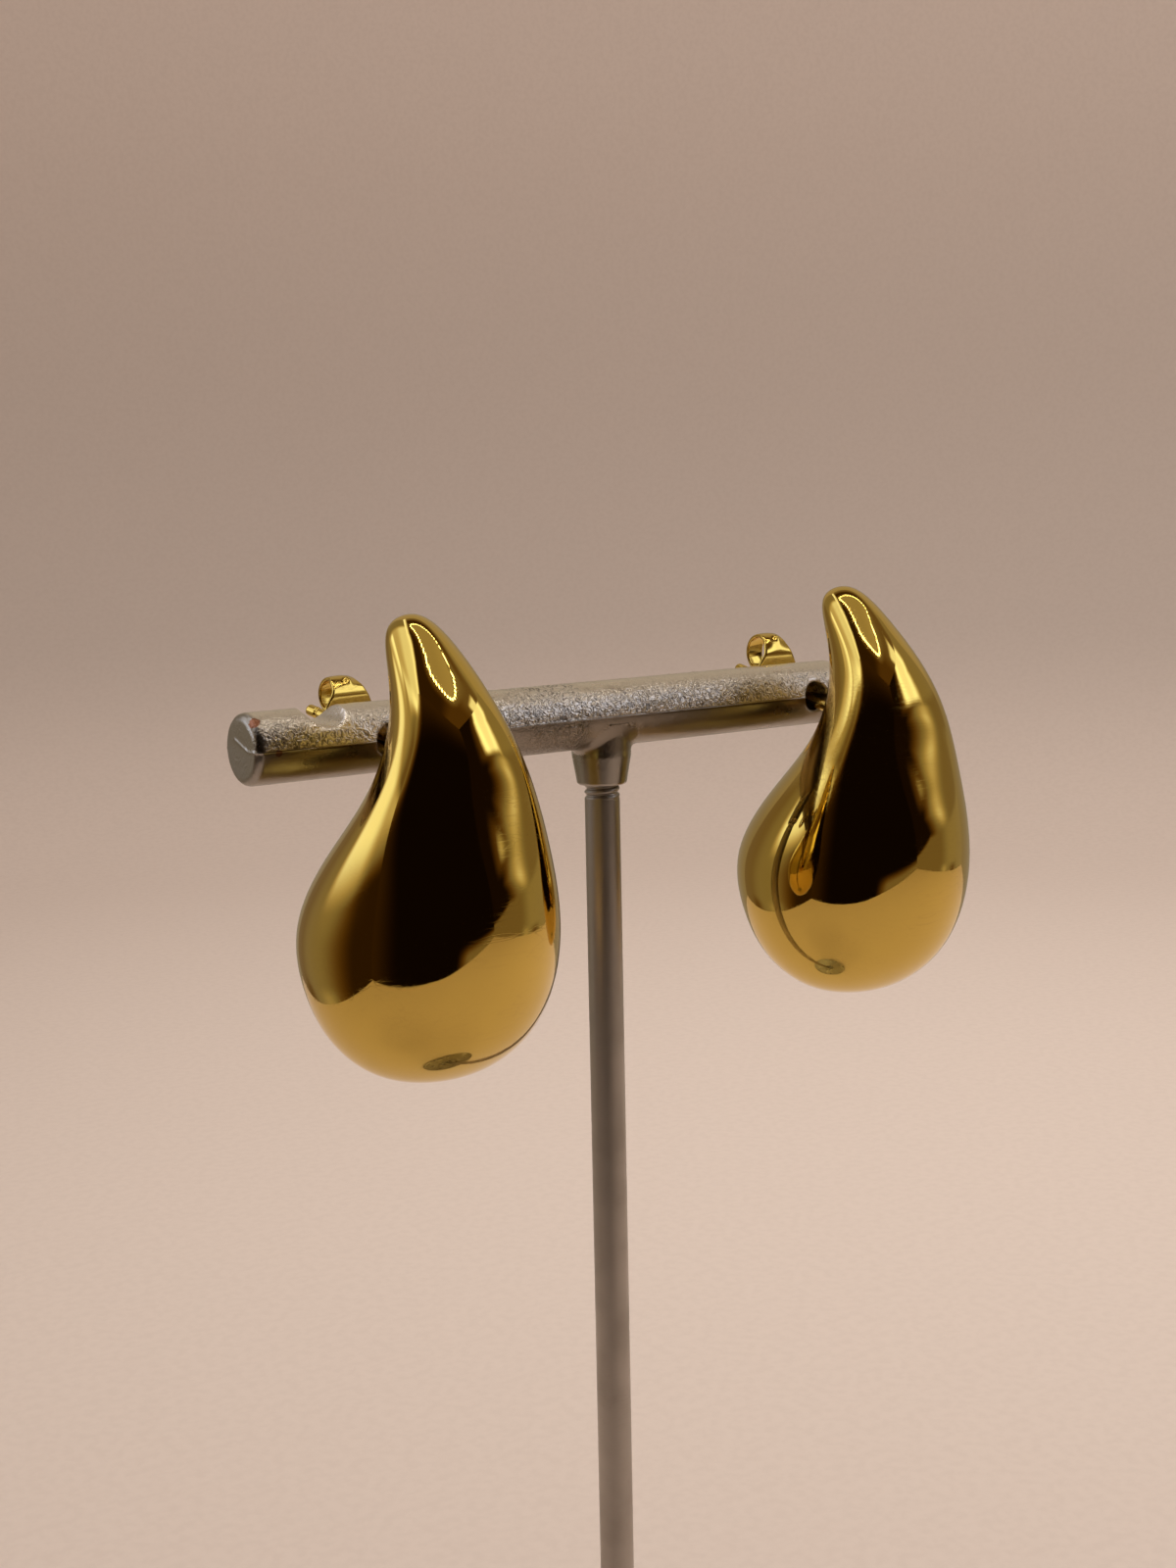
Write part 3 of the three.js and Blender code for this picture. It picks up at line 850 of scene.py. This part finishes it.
def bar_profile():
    """The bar's (x, radius) pairs, from the middle of one end face to the middle of the other."""
    flat = np.linspace(0.1, 1, 24)[:-1] * (BAR_RADIUS - END_ROUND)
    face = np.column_stack([np.full(len(flat), -BAR_HALF), flat])
    turns = np.linspace(0, np.pi / 2, 9)[:-1]
    x, radius = -BAR_HALF + END_ROUND * (1 - np.cos(turns)), BAR_RADIUS - END_ROUND * (1 - np.sin(turns))
    start = np.vstack([face, np.column_stack([x, radius])])
    middle = np.arange(-BAR_HALF + END_ROUND, BAR_HALF - END_ROUND + 0.01, ROW_STEP)
    body = np.column_stack([middle, np.full(len(middle), BAR_RADIUS)])
    return np.vstack([start, body, start[::-1] * (-1, 1)])


def bar_angles():
    """Angles round the bar from its front, crowded at the front and at the back for the fin."""
    even = np.linspace(0, 1, 68, endpoint=False)
    crowded = even - 0.11 * np.sin(2 * np.pi * even) / np.pi
    return np.concatenate([crowded * np.pi, np.pi + crowded * np.pi])


def fin_height(x, lane):
    """How far the torn, uneven fin stands proud. The fin on each side reads its own lane of the noise."""
    line = np.stack([x, np.full_like(x, lane), np.zeros_like(x)], -1)
    uneven = noise_at(line, 1.7, 2) + 0.7 * noise_at(line, 0.5, 3)
    return np.clip(FIN_MEAN + FIN_CHANGE * uneven, 0.0, FIN_MOST)[:, None]


print("bar grid:", len(bar_profile()), "rows of", len(bar_angles()), "points")

# %% [markdown]
# The grid is then moved in the order in which the features meet: the fin and the lumps first, the ridge
# across the end faces next, and the notches and the rounds of the drilled holes last.

# %% Bar: its skin
NOTCH_RADIUS = 1.5
NOTCH_FLOOR = BAR_RADIUS - 1.18
NOTCH_SOFTNESS = 0.3
HOLE_ROUND = 0.22
RIDGE_HEIGHT = 0.05


def soft_minimum(first, second, softness):
    blend = np.clip(0.5 + (second - first) / (2 * softness), 0, 1)
    return second + (first - second) * blend - softness * blend * (1 - blend)


def bar_rings():
    profile, angle = bar_profile(), bar_angles()
    x, radius = (np.repeat(profile[:, [column]], len(angle), 1) for column in (0, 1))
    share = radius / BAR_RADIUS
    proud = np.where(np.cos(angle) > 0, fin_height(profile[:, 0], 3.0), fin_height(profile[:, 0], 9.0))
    radius = radius + proud * bell(radius * np.sin(angle), FIN_WIDTH) * share
    y, z = -radius * np.cos(angle), radius * np.sin(angle)
    points = np.stack([x, y, z], -1)
    lumps = 0.02 * noise_at(points, 0.9, 4) + 0.012 * noise_at(points, 0.42, 5)
    cast = lumps * rise(0.0, 0.3, z) + 0.35 * lumps * rise(0.0, -0.3, z)
    cast = cast * rise(NOTCH_RADIUS - 0.1, NOTCH_RADIUS + 0.8, np.abs(np.abs(x) - NOTCH_X))
    scale = 1 + cast / np.maximum(np.hypot(y, z), 0.3) * rise(0.9, 1, share)
    y, z = y * scale, z * scale
    # the parting line goes on across each end face as a low ridge
    ridge = RIDGE_HEIGHT * bell(z - np.clip(0.33 * (y + 1.1), 0, None), 0.1) * fall(0.6, 1.0, y)
    x = x + np.sign(x) * ridge * fall(0.85, 1.0, share)
    for side in (-1, 1):
        reach = np.abs(x - side * NOTCH_X)
        inside = np.sqrt(np.clip(NOTCH_RADIUS**2 - reach**2, 0, None))
        wall = NOTCH_FLOOR + NOTCH_RADIUS - inside + np.clip(reach - NOTCH_RADIUS, 0, None) * 12
        z = np.where(z > 0, soft_minimum(z, wall, NOTCH_SOFTNESS), z)
    for hole in HOLE_X.values():
        into = np.clip(HOLE_RADIUS + HOLE_ROUND - np.hypot(x - hole, z), 0, HOLE_ROUND)
        sink = HOLE_ROUND - np.sqrt(HOLE_ROUND**2 - into**2)
        y = y - np.sign(y) * np.minimum(sink, np.abs(y))
    return np.stack([x, y, z + AXIS_HEIGHT], -1)


skin_of_bar = bar_rings()
bar_size = np.ptp(skin_of_bar, axis=(0, 1))
print("bar:", bar_size[0].round(2), "mm long and", bar_size[1].round(2), "mm deep")

# %% [markdown]
# The boss is a short cone that spreads where it meets the bar, as castings do, so that the metal flows.
# Its radius grows with nearness to the bar's underside as a quarter circle does, which gives a fillet that
# follows the round bar. That nearness depends on the radius, so a few rounds of small steps settle it.

# %% Boss, holes and socket
FILLET = 0.5
BOSS_EDGE = 0.12
BOSS_LEVELS, BOSS_RADII = (BOSS_BOTTOM, -2.9, -0.5), (1.75, 2.1, 2.18)


def boss_rings():
    angle = circle(120)
    levels = [np.linspace(BOSS_BOTTOM + BOSS_EDGE, -2.4, 26), np.linspace(-2.35, -0.5, 40)]
    level = np.concatenate(levels)[:, None]
    cone = np.interp(level, BOSS_LEVELS, BOSS_RADII)
    radius = np.repeat(cone, len(angle), 1)
    for _ in range(16):
        y = np.clip(radius * np.sin(angle), -BAR_RADIUS, BAR_RADIUS)
        gap = np.clip(-np.sqrt(BAR_RADIUS**2 - y**2) - level, 0, FILLET)
        flared = cone + FILLET - np.sqrt(FILLET**2 - (FILLET - gap) ** 2)
        radius = 0.7 * radius + 0.3 * flared
    turn = np.linspace(0, np.pi / 2, 6)[:-1, None]
    rim_radius = BOSS_RADII[0] - BOSS_EDGE + BOSS_EDGE * np.sin(turn)
    rim = ring(rim_radius, BOSS_BOTTOM + BOSS_EDGE * (1 - np.cos(turn)), angle)
    return np.vstack([rim, ring(radius, level, angle)]) + (0, 0, AXIS_HEIGHT)


def make_crossbar(rings):
    bar = new_mesh("cast_crossbar", *skin(rings[:, ::-1], rings[0].mean(0), rings[-1].mean(0)))
    cut(bar, "UNION", *skin(boss_rings()))
    drill = laid_back(turned([(HOLE_RADIUS, -4), (HOLE_RADIUS, 4)], 96))
    for hole in HOLE_X.values():
        cut(bar, "DIFFERENCE", *skin(drill + (hole, 0, AXIS_HEIGHT)))
    socket = turned([(pole_high[0] + PLAY, bar_low[2] + height) for height in (-1, 3)], 96)
    cut(bar, "DIFFERENCE", *skin(socket))
    finish_piece(bar, cast_zinc, "stand", "crossbar", 40)


make_crossbar(skin_of_bar)

# %% [markdown]
# ## The pole
#
# The pole is a drawn wire with a rolled thread at its top, and two turns of the thread show below the
# boss. A real thread is a helix, so its height depends on the angle as well: the groove's depth is a
# function of the height less the share of a turn.

# %% Pole
THREAD_PITCH = 0.5
THREAD_DEPTH = 0.16
THREAD_SHOWN = 1.05  # below the boss


def pole_rings():
    angle = circle(72)
    radius, low, high = pole_high[0], pole_low[2], pole_high[2]
    thread_end = bar_low[2] - THREAD_SHOWN
    plain = np.linspace(low + 0.3, thread_end - 0.3, 60)
    threaded = np.arange(thread_end - 0.25, high - 0.2, 0.025)
    level = np.concatenate([[low + 0.05], plain, threaded])[:, None]
    groove = 0.5 + 0.5 * np.cos(2 * np.pi * (level - thread_end) / THREAD_PITCH - angle)
    depth = THREAD_DEPTH * groove**1.5 * rise(thread_end - 0.1, thread_end + 0.25, level)
    bottom, top = ring(0.8 * radius, low, angle), ring(radius - 0.3, high, angle)
    return np.vstack([bottom[None], ring(radius - depth, level, angle), top[None]])


pole = new_mesh("steel_pole", *skin(pole_rings()))
finish_piece(pole, satin_pole, "stand", "pole", 60)

# %% [markdown]
# ## The foot
#
# The foot is a turned disc with a soft rim, and a low collar with a blind hole that takes the pole. Its
# profile is a list of short arcs, and the lathe does the rest.

# %% Foot
COLLAR_HEIGHT = 1.0
COLLAR_RADIUS, COLLAR_EDGE = 4.0, 0.3
COLLAR_FILLET = 0.4
RIM_LOW, RIM_HIGH = 0.4, 0.9  # the radii of the rim's two rounds


def arc(middle_radius, middle_height, size, start, end, steps=8):
    angles = np.radians(np.linspace(start, end, steps))
    return [(middle_radius + size * np.cos(a), middle_height + size * np.sin(a)) for a in angles]


def foot_profile():
    radius = base_high[0]
    top = base_high[2] - COLLAR_HEIGHT
    bore = pole_high[0] + PLAY
    profile = [(0.4 * radius, 0.0), (0.8 * radius, 0.0)]
    profile += arc(radius - RIM_LOW, RIM_LOW, RIM_LOW, -90, 0)
    profile += arc(radius - RIM_HIGH, top - RIM_HIGH, RIM_HIGH, 0, 90, 14)
    profile += [(r, top) for r in np.linspace(radius - 1.4, 4.9, 18)]
    profile += arc(4.7, top + COLLAR_FILLET, COLLAR_FILLET, 270, 190)
    profile += arc(COLLAR_RADIUS - COLLAR_EDGE, top + COLLAR_HEIGHT - COLLAR_EDGE, COLLAR_EDGE, 0, 90)
    return profile + [(bore + 0.2, top + COLLAR_HEIGHT), (bore, top + 0.9), (bore, 1.0)]


foot = new_mesh("steel_foot", *skin(turned(foot_profile(), 160)))
finish_piece(foot, satin_base, "stand", "base", 30)

# %% [markdown]
# ## The floor and the soft light
#
# Polished metal shows what stands round it, so a jeweller's light tent matters as much as the metal. The
# floor is one sheet of pale paper that curves up into a wall on every side. Above it hangs a large soft
# light. The tent's own walls are cards that only reflections can see: a bright upper part, a dark opening
# at the front, and a ring of small lamps in the ceiling.

# %% Paper floor
FLOOR_RADIUS = 420.0
FLOOR_CURVE = 220.0
WALL_TOP = 560.0
FLOOR_SIDES = 128
FLOOR_GAP = 0.02  # under the foot, so that the two faces don't share a plane
PAPER_FLOOR = (0.76, 0.643, 0.565, 1)
# painted shade and light: the paper is painted darker in its bend and lighter up the wall
PAPER_SHADED_BEND = (0.60, 0.508, 0.447, 1)
PAPER_LIT_WALL = (0.80, 0.685, 0.61, 1)
PAPER_FIBRE = (0.3, 0.2, 0.15, 1)


def make_floor():
    profile = [(r, 0.0) for r in np.linspace(20, FLOOR_RADIUS, 24)[:-1]]
    profile += arc(FLOOR_RADIUS, FLOOR_CURVE, FLOOR_CURVE, -90, 0, 24)
    profile += [(FLOOR_RADIUS + FLOOR_CURVE, h) for h in np.linspace(FLOOR_CURVE, WALL_TOP, 14)[1:]]
    points = np.vstack([turned(profile, FLOOR_SIDES).reshape(-1, 3), [(0, 0, 0)]])
    faces = grid_faces(len(profile), FLOOR_SIDES)
    faces += [(len(points) - 1, side, (side + 1) % FLOOR_SIDES) for side in range(FLOOR_SIDES)]
    return new_mesh("paper_floor", points - (0, 0, FLOOR_GAP), faces)


def paper_material():
    material, tree, shader, point = new_material("paper")
    shader["Roughness"].default_value = 0.9
    shader["Specular IOR Level"].default_value = 0.1
    height = add(tree, "SeparateXYZ", {0: point}).outputs["Z"]
    # painted shade in the bend, and painted light up the wall
    colour = mix_colour(tree, remap(tree, height, 0.0, 0.06), PAPER_FLOOR, PAPER_SHADED_BEND)
    colour = mix_colour(tree, remap(tree, height, 0.12, 0.33), colour, PAPER_LIT_WALL)
    fibres = times(tree, remap(tree, noise_value(tree, point, 700.0, 5.0), 0.35, 0.7), 0.06)
    put(tree, shader["Base Color"], mix_colour(tree, fibres, colour, PAPER_FIBRE))
    count_nodes("paper", tree)
    return material


floor = make_floor()
floor.data.materials.append(paper_material())

# %% [markdown]
# The tent stands square to the camera. Its own directions are *right* and *deep*, and a card is a grid
# of points whose brightness a small function works out from the place on the tent. The grid keeps that
# brightness as a colour attribute, and an emission shader shows it.

# %% Tent: its size, colours and cards
RIGHT = np.array((np.cos(np.radians(HEADING)), -np.sin(np.radians(HEADING)), 0))
DEEP = np.array((np.sin(np.radians(HEADING)), np.cos(np.radians(HEADING)), 0))
TENT_LEFT, TENT_RIGHT = -150.0, 320.0
TENT_FRONT, TENT_BACK = -220.0, 210.0
TENT_TOP = 400.0
FRONT_CORNERS = ((TENT_LEFT, -137), (28, -150), (TENT_RIGHT, -218))
CARD_GRID = (170, 150)
BROWN = np.array((1.0, 0.46, 0.07))
WARM = np.array((1.0, 0.83, 0.60))
WHITE = np.array((1.0, 1.07, 1.25))


def tinted(level):
    """The colour of a level of light in the tent: brown in the dark, cream, and white where it is bright."""
    cream = rise(0.04, 0.3, level)[..., None]
    white = rise(0.4, 1.3, level)[..., None]
    return level[..., None] * (BROWN + (WARM - BROWN) * cream + (WHITE - WARM) * white)


def glow_material(name, colour, strength):
    """A material that only glows, in one colour or in the colours that a mesh keeps under a name."""
    material = bpy.data.materials.new(name)
    material.use_nodes = True
    tree = material.node_tree
    tree.nodes.clear()
    if isinstance(colour, str):
        colour = add(tree, "Attribute", attribute_name=colour).outputs["Color"]
    shader = add(tree, "Emission", {"Color": colour, "Strength": strength})
    add(tree, "OutputMaterial", {"Surface": shader.outputs[0]})
    return material


tent_glow = glow_material("tent_glow", "glow", 1.0)


def only_in_reflections(obj):
    for ray in ("camera", "diffuse", "transmission", "shadow", "volume_scatter"):
        setattr(obj, "visible_" + ray, False)


def make_card(name, corner, along, up, glow_at):
    """A card from a corner and two edges in (right, deep, height). glow_at gives levels for points."""
    s, t = np.meshgrid(*(np.linspace(0, 1, count) for count in CARD_GRID), indexing="ij")
    tent = np.array(corner) + s[..., None] * np.array(along) + t[..., None] * np.array(up)
    places = tent[..., :1] * RIGHT + tent[..., 1:2] * DEEP + tent[..., 2:] * (0, 0, 1)
    index = np.arange(s.size).reshape(CARD_GRID)
    faces = np.stack([index[:-1, :-1], index[1:, :-1], index[1:, 1:], index[:-1, 1:]], -1).reshape(-1, 4)
    card = new_mesh(name, places.reshape(-1, 3), faces.tolist())
    attribute = card.data.color_attributes.new("glow", "FLOAT_COLOR", "POINT")
    colours = np.ones((s.size, 4))
    colours[:, :3] = tinted(glow_at(*np.moveaxis(tent, -1, 0))).reshape(-1, 3)
    attribute.data.foreach_set("color", colours.ravel())
    card.data.materials.append(tent_glow)
    only_in_reflections(card)


print("tent:", TENT_RIGHT - TENT_LEFT, "mm wide and", TENT_TOP, "mm high")

# %% [markdown]
# The ring of lamps is a rounded frame: a power of more than 2 makes an ellipse squarer. One function walks
# round it to place the lamps, and the other says how far out a place is, for the glow inside the ring.

# %% Ring of lamps
RING_MIDDLE, RING_HALF = 2.0, 73.0  # from front to back
RING_LEFT, RING_RIGHT, RING_SLANT = -50.0, 186.0, 62.0  # its two sides, and how far the left one slants
RING_SQUARENESS = 4.4
LAMP_COUNT = 44
LAMP_SIZE, LAMP_CORNERS = 5.2, 8
LAMP_HEIGHT = TENT_TOP - 8
LAMP_COLOUR, LAMP_STRENGTH = (1.0, 0.95, 0.85, 1), 12.0


def ring_line(count):
    """Evenly spaced (right, deep) points round the ring."""
    turn = np.linspace(0, 2 * np.pi, 721)
    across, along = (np.sign(f(turn)) * np.abs(f(turn)) ** (2 / RING_SQUARENESS) for f in (np.cos, np.sin))
    left = RING_LEFT - RING_SLANT * along
    right = (RING_RIGHT + left + across * (RING_RIGHT - left)) / 2
    return evenly(np.stack([right, RING_MIDDLE + RING_HALF * along], -1), count, endpoint=False)[0]


def ring_span(right, deep):
    """How far a place is from the middle of the ring: 1 on the ring itself."""
    along = (deep - RING_MIDDLE) / RING_HALF
    left = RING_LEFT - RING_SLANT * along
    across = (2 * right - RING_RIGHT - left) / np.maximum(RING_RIGHT - left, 60)
    return (np.abs(across) ** RING_SQUARENESS + np.abs(along) ** RING_SQUARENESS) ** (1 / RING_SQUARENESS)


def make_lamps():
    disc = ring(LAMP_SIZE, LAMP_HEIGHT, -circle(LAMP_CORNERS))
    points = np.vstack([right * RIGHT + deep * DEEP + disc for right, deep in ring_line(LAMP_COUNT)])
    return new_mesh("lamp_ring", points, np.arange(len(points)).reshape(-1, LAMP_CORNERS).tolist())


lamps = make_lamps()
lamps.data.materials.append(glow_material("lamp_glow", LAMP_COLOUR, LAMP_STRENGTH))
only_in_reflections(lamps)
print(len(lamps.data.polygons), "lamps")

# %% [markdown]
# The left wall has a band of light at the height of the drops, and a second light higher up. The right
# wall has a tall arch of light, as a window would be, and two soft glints below it. Each wall is a plain
# level of light with brighter parts mixed over it.


# %% Tent: the left and the right wall
def mixed(share, first, second):
    return first + (second - first) * share


def left_glow(right, deep, height):
    low = 0.03 + 0.25 * rise(-80, 25, deep) - 0.07 * rise(60, 130, deep)
    low += 0.1 * bell(deep + 10, 45) * rise(60, 100, height)
    low += (0.16 * bell(deep - 12, 26) - 0.1 * bell(deep - 98, 26)) * fall(6, 24, height)
    # a band of light at the height of the drops
    bottom = np.interp(deep, (-137, -45, 30), (130, 110, 104))
    band = rise(bottom - 22, bottom + 16, height) * fall(20, 52, deep)
    lower = mixed(band, low, 0.7 + 0.7 * rise(-90, -30, deep))
    # above it a duller part, then a second light behind a slanted edge
    upper = 0.18 + 0.28 * rise(-110, -30, deep) + 0.18 * rise(-25, 5, deep)
    upper += 0.1 * rise(210, 260, height) + 0.12 * rise(255, 300, height)
    upper += 1.05 * bell(height - 196, 18) * rise(-34, -6, deep) * fall(44, 70, deep)
    edge = deep + 55 + 0.745 * (height - 215)
    high = 0.7 + 0.4 * rise(240, 315, height) + 0.5 * bell(edge - 12, 17)
    upper = mixed(rise(-20, 8, edge) * rise(196, 216, height), upper, high)
    upper = mixed(fall(50, 88, deep), 0.28, upper)
    return mixed(rise(146, 166, height), lower, upper)


def right_glow(right, deep, height):
    # a tall arch of light, brightest along its two sides
    near = np.interp(height, (190, 230, 270, 310, 350, 400), (-103, -104, -98, -89, -72, -34))
    far = np.interp(height, (180, 250, 310, 350, 400), (-8, 10, 38, 80, 104))
    bottom = np.interp(deep, (-100, -20, 0), (187, 182, 166))
    arch = rise(near - 18, near + 12, deep) * fall(far - 20, far + 26, deep)
    arch = arch * rise(bottom - 16, bottom + 16, height)
    inner = 1.42 + 0.5 * bell(deep - near - 20, 15) + 0.3 * bell(deep - far + 22, 15)
    # the wall round it: dark in front of the arch, and paler behind it
    rest = 0.01 + 0.1 * rise(near - 60, near - 10, deep) + 0.2 * rise(near + 20, far + 30, deep)
    # below a sloping line stands something pale
    line = 97 + 0.43 * np.minimum(deep + 95, 0)
    low = 0.21 + 0.12 * rise(-30, 60, deep)
    low += (0.22 * bell(deep - 8, 20) - 0.17 * bell(deep - 85, 36)) * fall(6, 24, height)
    # two soft glints lie between that line and the arch
    dark_end = np.interp(height, (100, 125, 140, 155), (-55, -72, -88, -80))
    gap = 0.01 + 0.22 * rise(dark_end - 45, dark_end + 35, deep)
    gap += 0.6 * bell(deep + 4, 40) * bell(height - 128 + 0.35 * (deep + 5), 17)
    above = height - 151 + 0.29 * (deep + 15)
    gap += 0.3 * bell(deep + 8, 38) * rise(-16, 4, above) * fall(4, 26, above)
    below = mixed(rise(line - 7, line + 7, height), low, gap)
    return mixed(arch, mixed(rise(150, 185, height), below, rest), inner)


# %% Tent: the ceiling, the back and the front
def ceiling_glow(right, deep, height):
    span = ring_span(right, deep)
    plain = 0.035 + 0.06 * rise(90, 190, right) + 0.08 * rise(180, 250, right) * rise(-90, 0, deep)
    plain += 0.2 * rise(110, 190, deep)
    plain += 0.4 * fall(0.9, 1.0, span) + 0.16 * fall(1.0, 1.5, span) * rise(0.9, 1.0, span)
    edge = np.interp(deep, (-140, -85, -50, 0, 60), (-114, -80, -95, -118, -124))
    corner = (1.12 + 0.45 * bell(right - edge + 14, 16)) * fall(edge - 14, edge + 14, right)
    side = 1.3 * rise(258, 288, right) * rise(-25, 10, deep) * fall(62, 90, deep)
    return np.maximum(plain, np.maximum(corner, side))


def back_glow(right, deep, height):
    return 0.30 + 0.16 * rise(100, 220, height)


def front_glow(right, deep, height):
    left = 0.24 * fall(-165, -80, right) * rise(120, 170, height)
    left += 1.15 * fall(-155, -100, right) * rise(280, 380, height)
    low = 0.005 + 0.03 * fall(-150, -70, right) + 0.22 * fall(12, 40, height) * rise(50, 95, right)
    return left + low + 0.033 * rise(190, 400, height)


tall, wide = (0, 0, TENT_TOP), (TENT_RIGHT - TENT_LEFT, 0, 0)
inner_depth = (0, TENT_BACK - TENT_FRONT, 0)
left_edge = FRONT_CORNERS[0][1]
make_card("tent_left", (TENT_LEFT, left_edge, 0), (0, TENT_BACK - left_edge, 0), tall, left_glow)
make_card("tent_right", (TENT_RIGHT, TENT_FRONT, 0), inner_depth, tall, right_glow)
make_card("tent_back", (TENT_LEFT, TENT_BACK, 0), wide, tall, back_glow)
make_card("tent_top", (TENT_LEFT, TENT_FRONT, TENT_TOP), wide, inner_depth, ceiling_glow)
for name, start, end in zip(("near", "far"), FRONT_CORNERS, FRONT_CORNERS[1:]):
    run = (end[0] - start[0], end[1] - start[1], 0)
    make_card("tent_front_" + name, (*start, 0), run, tall, front_glow)

# %% [markdown]
# The soft light is an area lamp as wide as the ring. It lights the paper only: reflections show the tent
# instead, so the lamp itself is hidden from them. A faint even light from all sides fills the shadows.

# %% Soft light
LIGHT_RIGHT, LIGHT_DEEP, LIGHT_HEIGHT = 90.0, 170.0, 420.0
LIGHT_SIZE = 260.0
LIGHT_WATTS = 1.0
FILL_STRENGTH = 0.53

soft_light = new_object("soft_light", bpy.data.lights.new("soft_light", "AREA"))
soft_light.data.shape = "DISK"
soft_light.data.size = LIGHT_SIZE * MM
soft_light.data.energy = LIGHT_WATTS
soft_light.data.color = (1.0, 0.97, 0.93)
soft_light.location = (LIGHT_RIGHT * RIGHT + LIGHT_DEEP * DEEP + (0, 0, LIGHT_HEIGHT)) * MM
soft_light.visible_glossy = False
soft_light.visible_camera = False

world = bpy.data.worlds.new("soft_world")
world.use_nodes = True
fill = world.node_tree.nodes["Background"].inputs
fill["Color"].default_value = (1.0, 0.93, 0.87, 1)
fill["Strength"].default_value = FILL_STRENGTH
bpy.context.scene.world = world
bpy.context.scene.view_settings.view_transform = "Standard"
print("soft light at", [round(c / MM) for c in soft_light.location], "mm")
